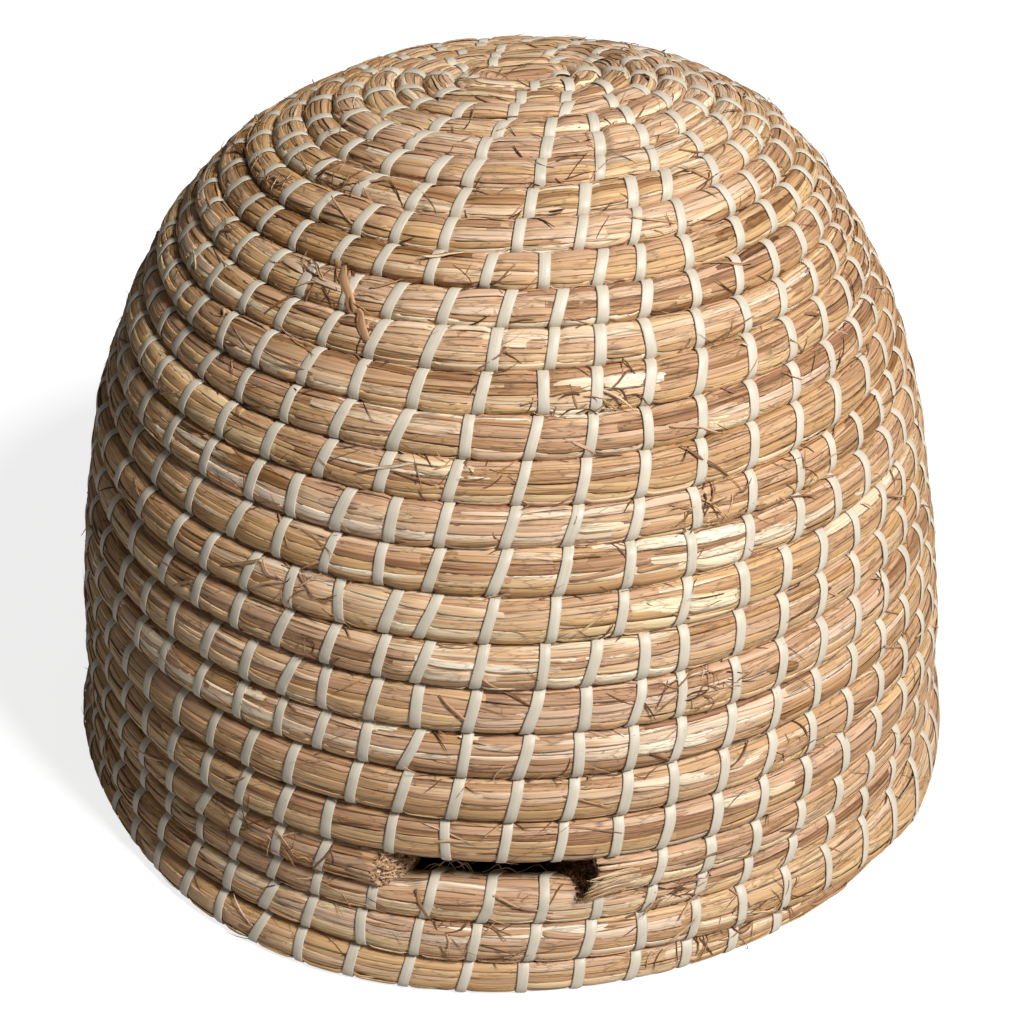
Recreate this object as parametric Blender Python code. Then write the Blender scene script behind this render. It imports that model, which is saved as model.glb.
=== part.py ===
"""A bee skep: a dome wound from one thick straw rope and bound with lengths of split cane.

Units are metres and +Z is up. The origin is the middle of the rim's underside, and the entrance faces -Y.
The rope is one spiral from the crown down to the rim. The entrance is a short piece cut out of one row, so the
rope is two pieces. The binding is many lengths of cane. Each is a flat strip here, seated in the outer groove
between the rows that it sews together.

Two values place everything. Turns are counted up the rope from its thin end at the rim. A height is a distance
up the wall from the rim, measured along the middle of the rope.
"""

import math

import bmesh
import bpy
from mathutils import Vector, kdtree

# Dome, to the middle of the rope, and how far apart the points are that give the wall's direction
RIM_RADIUS = 0.1945
CROWN_HEIGHT = 0.3053
WALL_TAPER = 0.133
SHOULDER_SQUARENESS = 3.14
CROWN_ROUNDNESS = 3.28
WALL_STEPS = 1500
NORMAL_REACH = 0.002

# The skep is handmade. Its wall leans sideways by this share of its height, and its foot spreads where it stands
# and waves in and out, this many times round. Its crown is off the middle and tilted, more and more from this share
# of the wall up.
WALL_LEAN_X = -0.0089
FOOT_SPREAD = 0.0029
FOOT_WAVE = 0.0018
FOOT_WAVES = 5
FOOT_WAVE_ANGLE = math.radians(-22.3)
FOOT_HEIGHT = 0.030
LEAN_FROM = 0.39
CROWN_OFFSET_X = 0.0068
CROWN_OFFSET_Y = 0.0065
CROWN_TILT_X = 0.036
CROWN_TILT_Y = -0.087

# The rope starts folded over on itself, so the first rows at the crown are longer across than deep
CORE_STRETCH = 0.011
CORE_BEND_SHARPNESS = 2.5
CORE_FADE_RADIUS = 0.065
CORE_HOLE = 0.001
CORE_TAPER_TURNS = 0.6

# Straw rope: the height of one row, the thickness of the wall, and the gap between two rows. The flats that face
# the rows above and below take up a share of the depth. Where the rope thins out, it is this much fuller than round.
WALL_ROW = 0.0200
CROWN_ROW = 0.0136
WALL_ROPE_DEPTH = 0.021
CROWN_ROPE_DEPTH = 0.015
ROPE_THINS_FROM = 0.09
ROPE_THIN_ABOVE = 0.30
ROW_GAP = 0.0007
FLAT_SHARE_OF_DEPTH = 0.5
LEAST_FULLNESS = 1.2

# The last row thins out at the rim. The rows are lifted over its end, less and less over this many turns.
ROPE_END_ANGLE = math.radians(60)
ROPE_END_TRIM = 0.015
CANE_END_TRIM = 0.06
END_LIFT = 0.60
END_LIFT_RISE = 0.04
END_LIFT_TURNS = 3.3

# Entrance, as angles from the front towards +X, in the row that has three whole rows below it
ENTRANCE_LEFT = math.radians(-13)
ENTRANCE_RIGHT = math.radians(7)
ROWS_BELOW_ENTRANCE = 3

# Split cane, and how many lengths of it bind the rows above, beside and below the entrance
CANE_WIDTH = 0.005
CANE_THICKNESS = 0.0012
CANE_SEAT = 0.0004
CANE_END_GAP = 0.002
CANES_ABOVE_ENTRANCE = 15
CANES_BESIDE_ENTRANCE = 1
CANES_BELOW_ENTRANCE = 3

# Detail of the model
STATIONS_PER_TURN = 24
SEAM_STEPS_PER_TURN = 96
SHORTEST_RUN = 0.005
STATION_TOLERANCE = 1e-6
GAP_SEARCH = 0.003
SHARP_EDGE = math.radians(70)

STRAW_COLOUR = (0.50, 0.31, 0.17, 1.0)
STRAW_ROUGHNESS = 0.7
CANE_COLOUR = (0.74, 0.70, 0.54, 1.0)
CANE_ROUGHNESS = 0.5


def smooth_step(value, low, high):
    share = min(max((value - low) / (high - low), 0.0), 1.0)
    return share * share * (3 - 2 * share)


def dome_profile():
    """Points (radius, z) from the rim to the crown through the middle of the rope."""
    points = []
    for step in range(WALL_STEPS + 1):
        angle = math.pi / 2 * step / WALL_STEPS
        rise = math.sin(angle) ** (2 / CROWN_ROUNDNESS)
        radius = max(math.cos(angle), 0.0) ** (2 / SHOULDER_SQUARENESS)
        points.append((RIM_RADIUS * radius * (1 - WALL_TAPER * rise), CROWN_HEIGHT * rise))
    return points


def running_heights(points):
    heights = [0.0]
    for (r0, z0), (r1, z1) in zip(points, points[1:]):
        heights.append(heights[-1] + math.hypot(r1 - r0, z1 - z0))
    return heights


PROFILE = dome_profile()
HEIGHTS = running_heights(PROFILE)
CROWN = HEIGHTS[-1]


def interpolate(value, values, results):
    """The result that goes with a value, between the nearest two of a rising list of values."""
    low = 0
    high = len(values) - 1
    if value <= values[0]:
        return results[0]
    if value >= values[-1]:
        return results[-1]
    while high - low > 1:
        middle = (low + high) // 2
        if values[middle] <= value:
            low = middle
        else:
            high = middle
    share = (value - values[low]) / (values[high] - values[low])
    return results[low] + share * (results[high] - results[low])


PROFILE_RADII = [radius for radius, _ in PROFILE]
PROFILE_Z = [z for _, z in PROFILE]


def on_wall(height):
    return interpolate(height, HEIGHTS, PROFILE_RADII), interpolate(height, HEIGHTS, PROFILE_Z)


def wall_normal(height):
    """The wall's outward direction as (radial, up). It is level at the rim, so that the skep stands flat."""
    r0, z0 = on_wall(height - NORMAL_REACH)
    r1, z1 = on_wall(height + NORMAL_REACH)
    length = math.hypot(r1 - r0, z1 - z0)
    radial, up = (z1 - z0) / length, (r0 - r1) / length
    up *= smooth_step(height, 0.0, WALL_ROW)
    length = math.hypot(radial, up)
    return radial / length, up / length


def place(height, outward, azimuth):
    """A point of the skep: so far up the wall, so far out from the rope's middle, and so far round from the front."""
    radius, z = on_wall(height)
    radial, up = wall_normal(height)
    stretch = CORE_STRETCH * math.exp(-((radius / CORE_FADE_RADIUS) ** 2))
    across = math.tanh(CORE_BEND_SHARPNESS * math.sin(azimuth)) / math.tanh(CORE_BEND_SHARPNESS)
    spread = FOOT_SPREAD + FOOT_WAVE * math.cos(FOOT_WAVES * (azimuth - FOOT_WAVE_ANGLE))
    outward += spread * (1 - smooth_step(height, 0.0, FOOT_HEIGHT))
    radius += radial * outward
    x = radius * math.sin(azimuth) + stretch * across
    y = -radius * math.cos(azimuth)
    lean = smooth_step(height, LEAN_FROM * CROWN, CROWN)
    z += up * outward + lean * (CROWN_TILT_X * x + CROWN_TILT_Y * y)
    return Vector((x + lean * CROWN_OFFSET_X + WALL_LEAN_X * z, y + lean * CROWN_OFFSET_Y, z))


def row_height(height):
    return WALL_ROW + (CROWN_ROW - WALL_ROW) * smooth_step(height, ROPE_THINS_FROM, ROPE_THIN_ABOVE)


def rope_depth(height):
    thinned = smooth_step(height, ROPE_THINS_FROM, ROPE_THIN_ABOVE)
    return WALL_ROPE_DEPTH + (CROWN_ROPE_DEPTH - WALL_ROPE_DEPTH) * thinned


def seam_table():
    """Heights of the seam up the rope, a step of a turn apart, up to the edge of the hole at the crown."""
    heights = [0.0]
    while heights[-1] < CROWN - CORE_HOLE:
        heights.append(heights[-1] + row_height(heights[-1]) / SEAM_STEPS_PER_TURN)
    heights[-1] = CROWN - CORE_HOLE
    return heights


SEAM_HEIGHTS = seam_table()
SEAM_TURNS = [step / SEAM_STEPS_PER_TURN for step in range(len(SEAM_HEIGHTS))]


def seam(turns):
    """Height of the seam on top of the rope at a number of turns from its end."""
    if turns <= 0:
        return 0.0
    lift = END_LIFT * (1 - math.exp(-turns / END_LIFT_RISE)) * (1 - smooth_step(turns, 0.0, END_LIFT_TURNS))
    return interpolate(turns + lift, SEAM_TURNS, SEAM_HEIGHTS)


TOP_TURNS = math.floor((SEAM_TURNS[-1] + CORE_TAPER_TURNS) * STATIONS_PER_TURN) / STATIONS_PER_TURN
ENTRANCE_TURNS = ROWS_BELOW_ENTRANCE + ROPE_END_ANGLE / math.tau
LOWER_ROPE_TOP = ENTRANCE_TURNS - ENTRANCE_RIGHT / math.tau
UPPER_ROPE_END = ENTRANCE_TURNS - ENTRANCE_LEFT / math.tau


def azimuth_of(turns):
    return ROPE_END_ANGLE - math.tau * turns


def rope_size(turns):
    """Heights of the rope's lower and upper side, and its depth, which shrinks where the rope thins out."""
    low = seam(turns - 1) + ROW_GAP / 2 if turns > 1 else 0.0
    high = seam(turns) - ROW_GAP / 2
    middle = (low + high) / 2
    depth = rope_depth(middle) * min(1.0, LEAST_FULLNESS * (high - low) / row_height(middle))
    return low, high, depth


def rope_section(turns):
    """Six corners of the rope's section. The flats that face the rows above and below lie along the seams."""
    low, high, depth = rope_size(turns)
    middle = (low + high) / 2
    flat = depth * FLAT_SHARE_OF_DEPTH / 2
    corners = (
        (middle, depth / 2),
        (high, flat),
        (high, -flat),
        (middle, -depth / 2),
        (low, -flat),
        (low, flat),
    )
    return [place(height, outward, azimuth_of(turns)) for height, outward in corners]


def cane_section(turns):
    """Four corners of a strip that lies across the outer groove at a seam, just clear of both rows."""
    below = rope_size(turns)
    above = rope_size(turns + 1)
    seat = 0.0
    for low, high, depth in (below, above):
        flat = depth * FLAT_SHARE_OF_DEPTH / 2
        slope = (depth / 2 - flat) / ((high - low) / 2)
        seat = max(seat, flat + slope * (CANE_WIDTH - ROW_GAP) / 2)
    seat += CANE_SEAT
    height = seam(turns)
    corners = (
        (height - CANE_WIDTH / 2, seat),
        (height - CANE_WIDTH / 2, seat + CANE_THICKNESS),
        (height + CANE_WIDTH / 2, seat + CANE_THICKNESS),
        (height + CANE_WIDTH / 2, seat),
    )
    return [place(up, outward, azimuth_of(turns)) for up, outward in corners]


def ring_at(section, turns):
    """A section at any number of turns. Between two stations it lies on the straight run that joins them."""
    station = turns * STATIONS_PER_TURN
    below = math.floor(station + STATION_TOLERANCE)
    share = station - below
    if share < STATION_TOLERANCE:
        return section(below / STATIONS_PER_TURN)
    first = section(below / STATIONS_PER_TURN)
    second = section((below + 1) / STATIONS_PER_TURN)
    return [a.lerp(b, share) for a, b in zip(first, second)]


def rings_between(section, first, last):
    """Sections from one number of turns up to another: one at each end, and one at each station between."""
    nearest = SHORTEST_RUN / STATIONS_PER_TURN
    turns = [first]
    station = math.floor(first * STATIONS_PER_TURN) + 1
    while station / STATIONS_PER_TURN < last - nearest:
        if station / STATIONS_PER_TURN > first + nearest:
            turns.append(station / STATIONS_PER_TURN)
        station += 1
    turns.append(last)
    return [ring_at(section, value) for value in turns]


def least_self_gap(rings):
    """Least distance between corners of a wound tube that lie more than half a turn apart along it."""
    tree = kdtree.KDTree(sum(len(ring) for ring in rings))
    for index, ring in enumerate(rings):
        for corner in ring:
            tree.insert(corner, index)
    tree.balance()
    least = GAP_SEARCH
    for index, ring in enumerate(rings):
        for corner in ring:
            for _, other, distance in tree.find_range(corner, GAP_SEARCH):
                if abs(other - index) > STATIONS_PER_TURN / 2:
                    least = min(least, distance)
    return least


def make_material(name, colour, roughness):
    material = bpy.data.materials.new(name)
    material.use_nodes = True
    shader = material.node_tree.nodes["Principled BSDF"]
    shader.inputs["Base Color"].default_value = colour
    shader.inputs["Roughness"].default_value = roughness
    shader.inputs["Metallic"].default_value = 0.0
    return material


def make_tube(name, rings, material):
    """A closed solid through a row of sections, with a flat face at each end."""
    mesh = bmesh.new()
    loops = [[mesh.verts.new(corner) for corner in ring] for ring in rings]
    sides = len(loops[0])
    for lower, upper in zip(loops, loops[1:]):
        for side in range(sides):
            after = (side + 1) % sides
            mesh.faces.new((lower[side], lower[after], upper[after], upper[side]))
    mesh.faces.new(reversed(loops[0]))
    mesh.faces.new(loops[-1])
    bmesh.ops.recalc_face_normals(mesh, faces=mesh.faces)
    data = bpy.data.meshes.new(name)
    mesh.to_mesh(data)
    mesh.free()
    data.shade_smooth()
    data.set_sharp_from_angle(angle=SHARP_EDGE)
    data.materials.append(material)
    piece = bpy.data.objects.new(name, data)
    bpy.context.scene.collection.objects.link(piece)
    return piece


def make_rope(name, first, last, material):
    rings = rings_between(rope_section, first, last)
    print(f"{name}: least gap to itself {least_self_gap(rings) * 1000:.2f} mm")
    return make_tube(name, rings, material)


def cane_runs():
    """Where each length of cane ends and starts, in turns, from the crown down to the rim.

    No cane crosses the entrance, at its upper edge or at its lower edge.
    """
    stretches = (
        (TOP_TURNS - 1, UPPER_ROPE_END, CANES_ABOVE_ENTRANCE),
        (LOWER_ROPE_TOP, UPPER_ROPE_END - 1, CANES_BESIDE_ENTRANCE),
        (LOWER_ROPE_TOP - 1, CANE_END_TRIM, CANES_BELOW_ENTRANCE),
    )
    runs = []
    for first, last, count in stretches:
        turns = [first]
        bound = [0.0]
        while turns[-1] > last:
            below = max(turns[-1] - 1 / STATIONS_PER_TURN, last)
            radius, _ = on_wall(seam((turns[-1] + below) / 2))
            bound.append(bound[-1] + math.tau * radius * (turns[-1] - below))
            turns.append(below)
        marks = [interpolate(bound[-1] * index / count, bound, turns) for index in range(count + 1)]
        runs.extend(zip(marks[1:], marks))
    return runs


def make_cane(number, first, last, material):
    radius, _ = on_wall(seam((first + last) / 2))
    trim = CANE_END_GAP / 2 / (math.tau * max(radius, CANE_WIDTH))
    rings = rings_between(cane_section, first + trim, last - trim)
    return make_tube(f"binding_cane_{number:02d}", rings, material)


def main():
    for old in list(bpy.data.objects):
        bpy.data.objects.remove(old, do_unlink=True)
    skep = bpy.data.objects.new("skep", None)
    bpy.context.scene.collection.objects.link(skep)
    upper_straw = make_material("straw_upper", STRAW_COLOUR, STRAW_ROUGHNESS)
    lower_straw = make_material("straw_lower", STRAW_COLOUR, STRAW_ROUGHNESS)
    pieces = [
        make_rope("straw_rope_upper", UPPER_ROPE_END, TOP_TURNS, upper_straw),
        make_rope("straw_rope_lower", ROPE_END_TRIM, LOWER_ROPE_TOP, lower_straw),
    ]
    for number, (first, last) in enumerate(cane_runs(), start=1):
        cane = make_material(f"cane_{number:02d}", CANE_COLOUR, CANE_ROUGHNESS)
        pieces.append(make_cane(number, first, last, cane))
    for piece in pieces:
        piece.parent = skep


main()
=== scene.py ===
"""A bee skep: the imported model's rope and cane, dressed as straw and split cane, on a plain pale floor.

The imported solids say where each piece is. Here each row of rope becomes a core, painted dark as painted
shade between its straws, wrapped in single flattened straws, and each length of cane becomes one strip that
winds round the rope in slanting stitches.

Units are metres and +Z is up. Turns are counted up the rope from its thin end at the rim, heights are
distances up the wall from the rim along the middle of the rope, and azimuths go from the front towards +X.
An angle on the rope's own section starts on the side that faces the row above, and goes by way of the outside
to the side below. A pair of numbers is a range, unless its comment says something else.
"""

import math

import bpy
import numpy as np
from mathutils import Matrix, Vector

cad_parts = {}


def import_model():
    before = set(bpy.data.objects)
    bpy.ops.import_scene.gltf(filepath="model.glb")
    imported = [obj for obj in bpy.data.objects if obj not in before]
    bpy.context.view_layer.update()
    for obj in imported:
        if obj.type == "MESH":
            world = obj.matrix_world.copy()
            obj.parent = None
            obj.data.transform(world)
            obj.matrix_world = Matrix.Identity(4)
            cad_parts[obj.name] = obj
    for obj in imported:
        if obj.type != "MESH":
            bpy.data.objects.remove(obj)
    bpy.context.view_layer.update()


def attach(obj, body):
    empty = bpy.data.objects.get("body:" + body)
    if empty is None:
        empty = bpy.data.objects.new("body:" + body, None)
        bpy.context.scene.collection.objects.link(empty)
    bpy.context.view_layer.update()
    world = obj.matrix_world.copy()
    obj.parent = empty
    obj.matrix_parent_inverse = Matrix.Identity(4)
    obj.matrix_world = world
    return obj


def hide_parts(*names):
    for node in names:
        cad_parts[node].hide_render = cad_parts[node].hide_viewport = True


# Dome, to the middle of the rope
RIM_RADIUS = 0.1945
CROWN_HEIGHT = 0.3053
WALL_TAPER = 0.133
SHOULDER_SQUARENESS = 3.14
CROWN_ROUNDNESS = 3.28
WALL_STEPS = 1500
NORMAL_REACH = 0.002

# The wall leans, and the foot spreads and waves in and out. Above a share LEAN_FROM of the wall, the crown
# goes off the middle and tilts
WALL_LEAN_X = -0.0089
FOOT_SPREAD = 0.0029
FOOT_WAVE = 0.0018
FOOT_WAVES = 5
FOOT_WAVE_ANGLE = math.radians(-22.3)
FOOT_HEIGHT = 0.030
LEAN_FROM = 0.39
CROWN_OFFSET_X = 0.0068
CROWN_OFFSET_Y = 0.0065
CROWN_TILT_X = 0.036
CROWN_TILT_Y = -0.087

# The rope starts folded over on itself
CORE_STRETCH = 0.011
CORE_BEND_SHARPNESS = 2.5
CORE_FADE_RADIUS = 0.065
CORE_HOLE = 0.001
CORE_TAPER_TURNS = 0.6

# Straw rope
WALL_ROW = 0.0200
CROWN_ROW = 0.0136
WALL_ROPE_DEPTH = 0.021
CROWN_ROPE_DEPTH = 0.015
ROPE_THINS_FROM = 0.09
ROPE_THIN_ABOVE = 0.30
LEAST_FULLNESS = 1.2
SECTION_SQUARENESS = 2.9
ROW_OVERLAP = 1.05
SEAM_STEPS_PER_TURN = 96
STEPS_PER_TURN_OF_MODEL = 24

# How far to each side the pace of the rope is measured
PACE_TURNS = 0.002

# The last row thins out at the rim, and the rows are lifted over its end, less and less over this many turns
ROPE_END_ANGLE = math.radians(60)
ROPE_END_TRIM = 0.015
CANE_END_TRIM = 0.06
END_LIFT = 0.60
END_LIFT_RISE = 0.04
END_LIFT_TURNS = 3.3

# Entrance, as angles from the front
ENTRANCE_LEFT = math.radians(-13)
ENTRANCE_RIGHT = math.radians(7)
ROWS_BELOW_ENTRANCE = 3

# The cut ends: how far each is cut back, how much farther on its outer side and on its upper side, and how
# the rope spreads towards it
CUT_BACK_LEFT = 0.0040
CUT_BACK_RIGHT = 0.0008
CUT_SLANT = 0.0072
CUT_LEAN_LEFT = -0.0005
CUT_LEAN_RIGHT = 0.0046
CUT_FLARE = 0.0024
CUT_FLARE_REACH = 0.008

# How far the row below the entrance stands up into it, and the part of a turn in which it rises to that
ROW_BELOW_RISE = 0.0037
ROW_BELOW_EASE = 0.01

# Unevenness of the handmade rope: how far a seam and a row's face wander, over what part of a turn, in how
# many steps before it repeats, and how many turns from the rope's end the seam wanders in full
SEAM_WANDER = 0.0008
FACE_WANDER = 0.0009
WANDER_SPACING = 0.07
WANDER_VALUES = 2048
SEAM_WANDER_EASE = 0.5

# Split cane
CANE_WIDTH = 0.0044
CANE_THICKNESS = 0.0006
CANE_LIFT = 0.0006
CANES_ABOVE_ENTRANCE = 15
CANES_BESIDE_ENTRANCE = 1
CANES_BELOW_ENTRANCE = 3

# Stitches: how far apart they are, how they lean, how they follow the row above, and how they pinch the rope
STITCH_SPACING = 0.0197
SPACING_SPREAD = 0.05
STITCH_SLANT = math.radians(14)
SLANT_SPREAD = math.radians(6)
GREATEST_SLANT = math.radians(28)
CHAIN_SHIFT = 0.0030
CHAIN_REACH = 0.34
CHAIN_PULL = 0.75
WALL_DENT = 0.0004
CROWN_DENT = 0.0010
DENT_REACH = 0.0033
PINCH_REACH = 0.0062
DENT_SHARE = 0.75
STITCH_FREE_OF_ENTRANCE = 0.015
FIRST_STITCH_TURNS = 0.3
STITCH_OUTER_STATIONS = 15
STITCH_INNER_STATIONS = 9

# Camera: a long lens, level with the middle of the skep's picture and above it
CAMERA_ELEVATION = math.radians(33.55)
CAMERA_DISTANCE = 0.941
CAMERA_AIM = (-0.0002, 0.0, 0.1008)
CAMERA_ROLL = math.radians(-0.25)
CAMERA_LENS = 71.0
CAMERA_SENSOR = 36.0

# Light
KEY_AZIMUTH = math.radians(45)
KEY_ELEVATION = math.radians(47.5)
KEY_DISTANCE = 2.2
KEY_SIZE = 0.45
KEY_POWER = 66.5
FILL_AZIMUTH = math.radians(-50)
FILL_ELEVATION = math.radians(30)
FILL_DISTANCE = 2.4
FILL_SIZE = 2.0
FILL_POWER = 0.2
WORLD_STRENGTH = 0.09

# Floor: its shade outside the skep, a painted shadow under it, and its glow to the camera, which rises with
# the distance
FLOOR_SIZE = 6.0
FLOOR_SHADE = 0.5
FLOOR_PAINTED_SHADOW_INSIDE = 0.05
FLOOR_ROUGHNESS = 0.9
FLOOR_GLOW = (0.8, 1.0)
FLOOR_GLOW_REACH = (0.8, 1.8)
FLOOR_GLOW_FROM = 0.19
FLOOR_CLEARANCE = 0.0002

# Seeds of what is drawn at random. A lane, rope, lip, cut end or cane adds its own number to its seed
SEAM_SEED = 7
STITCH_SEED = 8
SLANT_SEED = 9
FACE_SEED = 10
CORE_SEED = 11
GOLD_SEED = 12
TONE_SEED = 13
ROPE_SEED = 17
LANE_SEED = 27
LIP_SEED = 37
STUB_SEED = 47
FAN_SEED = 57
CHIP_SEED = 58
SLIT_FIBRE_SEED = 62
LOOSE_END_SEED = 67
KNOT_SEED = 77
BUNDLE_SEED = 87
CANE_SEED = 307
CANE_WIDTH_SEED = 507


def linear(red, green, blue):
    """A colour as Blender wants it, from the 0 to 255 values that a screen shows."""
    shares = [value / 255 for value in (red, green, blue)]
    curved = [s / 12.92 if s <= 0.04045 else ((s + 0.055) / 1.055) ** 2.4 for s in shares]
    return (*curved, 1.0)


def smooth_step(value, low, high):
    """0 up to a low value, 1 from a high value on, and a smooth rise between them."""
    share = np.clip((value - low) / (high - low), 0.0, 1.0)
    return share * share * (3 - 2 * share)


def running_total(steps):
    """0, and the total of the steps after each of them."""
    return np.concatenate(([0.0], np.cumsum(steps)))


def stacked(*parts):
    """Numbers side by side on a new last axis, once each part has the shape that they share."""
    return np.stack(np.broadcast_arrays(*parts), axis=-1)


def add_object(name, data):
    item = bpy.data.objects.new(name, data)
    bpy.context.scene.collection.objects.link(item)
    return item


# Shape of the wall and of the rope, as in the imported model


def dome_profile():
    """Radius and height above the floor of the rope's middle line, in steps from the rim to the crown."""
    angle = np.linspace(0, math.pi / 2, WALL_STEPS + 1)
    rise = np.sin(angle) ** (2 / CROWN_ROUNDNESS)
    radius = np.maximum(np.cos(angle), 0.0) ** (2 / SHOULDER_SQUARENESS)
    return RIM_RADIUS * radius * (1 - WALL_TAPER * rise), CROWN_HEIGHT * rise


PROFILE_RADII, PROFILE_Z = dome_profile()
HEIGHTS = running_total(np.hypot(np.diff(PROFILE_RADII), np.diff(PROFILE_Z)))
CROWN = HEIGHTS[-1]


def on_wall(height):
    return np.interp(height, HEIGHTS, PROFILE_RADII), np.interp(height, HEIGHTS, PROFILE_Z)


def wall_normal(height):
    """The wall's outward direction as (radial, up). It is level at the rim, so that the skep stands flat."""
    r0, z0 = on_wall(height - NORMAL_REACH)
    r1, z1 = on_wall(height + NORMAL_REACH)
    length = np.hypot(r1 - r0, z1 - z0)
    radial = (z1 - z0) / length
    up = (r0 - r1) / length * smooth_step(height, 0.0, WALL_ROW)
    length = np.hypot(radial, up)
    return radial / length, up / length


def place(height, outward, azimuth):
    """Points so far up the wall, so far out from the rope's middle, and so far round from the front."""
    radius, z = on_wall(height)
    radial, up = wall_normal(height)
    stretch = CORE_STRETCH * np.exp(-((radius / CORE_FADE_RADIUS) ** 2))
    across = np.tanh(CORE_BEND_SHARPNESS * np.sin(azimuth)) / math.tanh(CORE_BEND_SHARPNESS)
    spread = FOOT_SPREAD + FOOT_WAVE * np.cos(FOOT_WAVES * (azimuth - FOOT_WAVE_ANGLE))
    outward = outward + spread * (1 - smooth_step(height, 0.0, FOOT_HEIGHT))
    radius = radius + radial * outward
    x = radius * np.sin(azimuth) + stretch * across
    y = -radius * np.cos(azimuth)
    lean = smooth_step(height, LEAN_FROM * CROWN, CROWN)
    z = z + up * outward + lean * (CROWN_TILT_X * x + CROWN_TILT_Y * y)
    return np.stack((x + lean * CROWN_OFFSET_X + WALL_LEAN_X * z, y + lean * CROWN_OFFSET_Y, z), axis=-1)


def row_height(height):
    return WALL_ROW + (CROWN_ROW - WALL_ROW) * smooth_step(height, ROPE_THINS_FROM, ROPE_THIN_ABOVE)


def rope_depth(height):
    thinned = smooth_step(height, ROPE_THINS_FROM, ROPE_THIN_ABOVE)
    return WALL_ROPE_DEPTH + (CROWN_ROPE_DEPTH - WALL_ROPE_DEPTH) * thinned


def seam_table():
    """Heights up the wall of the seam, at so many places in each turn, from the rim to the crown."""
    heights = [0.0]
    while heights[-1] < CROWN - CORE_HOLE:
        heights.append(heights[-1] + float(row_height(heights[-1])) / SEAM_STEPS_PER_TURN)
    heights[-1] = CROWN - CORE_HOLE
    return np.array(heights)


SEAM_HEIGHTS = seam_table()
SEAM_TURNS = np.arange(len(SEAM_HEIGHTS)) / SEAM_STEPS_PER_TURN
TOP_STEPS = math.floor((SEAM_TURNS[-1] + CORE_TAPER_TURNS) * STEPS_PER_TURN_OF_MODEL)
TOP_TURNS = TOP_STEPS / STEPS_PER_TURN_OF_MODEL
ENTRANCE_TURNS = ROWS_BELOW_ENTRANCE + ROPE_END_ANGLE / math.tau
LOWER_ROPE_TOP = ENTRANCE_TURNS - ENTRANCE_RIGHT / math.tau
UPPER_ROPE_END = ENTRANCE_TURNS - ENTRANCE_LEFT / math.tau


def wander(turns, spacing, seed):
    """A smooth random line between -1 and 1 along the rope."""
    values = np.random.default_rng(seed).uniform(-1, 1, WANDER_VALUES)
    position = np.asarray(turns) / spacing
    cell = np.floor(position).astype(int)
    share = smooth_step(position - cell, 0.0, 1.0)
    return values[cell % WANDER_VALUES] * (1 - share) + values[(cell + 1) % WANDER_VALUES] * share


def seam(turns):
    """Height of the seam on top of the rope at a number of turns from its end."""
    turns = np.asarray(turns, float)
    above = np.maximum(turns, 0.0)
    lift = END_LIFT * (1 - np.exp(-above / END_LIFT_RISE)) * (1 - smooth_step(above, 0.0, END_LIFT_TURNS))
    level = np.interp(above + lift, SEAM_TURNS, SEAM_HEIGHTS)
    waved = SEAM_WANDER * wander(turns, WANDER_SPACING, SEAM_SEED) * smooth_step(turns, 0.0, SEAM_WANDER_EASE)
    return np.where(turns > 0, np.minimum(level + waved, CROWN), 0.0)


def azimuth_of(turns):
    return ROPE_END_ANGLE - math.tau * turns


def rope_size(turns):
    """Heights of the rope's lower and upper side, and its depth, which shrinks where the rope thins out."""
    low = np.where(turns > 1, seam(turns - 1), 0.0)
    high = seam(turns)
    middle = (low + high) / 2
    fullness = np.minimum(1.0, LEAST_FULLNESS * (high - low) / row_height(middle))
    return low, high, rope_depth(middle) * fullness


def length_of_turn(turns):
    """How much rope there is in a whole turn, at the pace that it has at one place."""
    low, high, _ = rope_size(turns)
    middle = (low + high) / 2
    before = place(middle, 0.0, azimuth_of(turns - PACE_TURNS))
    after = place(middle, 0.0, azimuth_of(turns + PACE_TURNS))
    return np.linalg.norm(after - before, axis=-1) / (2 * PACE_TURNS)


# Stitches


def lean_in_turns(turns, slant):
    """How far round the rope a stitch of a certain slant leans from one side of its row to the other."""
    low, high, _ = rope_size(turns)
    return np.tan(slant) * (high - low) / length_of_turn(turns)


def stitch_turns(random):
    """Where each stitch crosses the middle of its row, from the crown down.

    Each stitch is drawn towards the one above it in the row above, so most of them run in slanting chains.
    """
    places = [TOP_TURNS - FIRST_STITCH_TURNS]
    while places[-1] > CANE_END_TRIM:
        last = places[-1]
        per_turn = float(length_of_turn(np.array(last)))
        spacing = STITCH_SPACING / per_turn * (1 + random.normal(0, SPACING_SPREAD))
        following = last - spacing
        chained = np.array(places) - 1 + CHAIN_SHIFT / per_turn
        nearest = chained[np.abs(chained - following).argmin()]
        if abs(nearest - following) < CHAIN_REACH * spacing:
            following += CHAIN_PULL * (nearest - following)
        places.append(following)
    places = np.array(places)
    free = STITCH_FREE_OF_ENTRANCE
    over_entrance = (places > LOWER_ROPE_TOP - free) & (places < UPPER_ROPE_END + free)
    return places[~over_entrance & (places > CANE_END_TRIM)]


def stitch_leans(random, places):
    slant = np.minimum(random.normal(STITCH_SLANT, SLANT_SPREAD, len(places)), GREATEST_SLANT)
    return lean_in_turns(places, slant)


STITCHES = stitch_turns(np.random.default_rng(STITCH_SEED))
STITCH_LEANS = stitch_leans(np.random.default_rng(SLANT_SEED), STITCHES)
RISING_STITCHES = STITCHES[::-1]
RISING_LEANS = STITCH_LEANS[::-1]


def along_stitch(angle):
    """How far along a stitch a section angle lies, from -0.5 to 0.5, either way round the row."""
    return np.where(np.sin(angle) > 0, 0.5, -0.5) * np.cos(angle)


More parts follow.
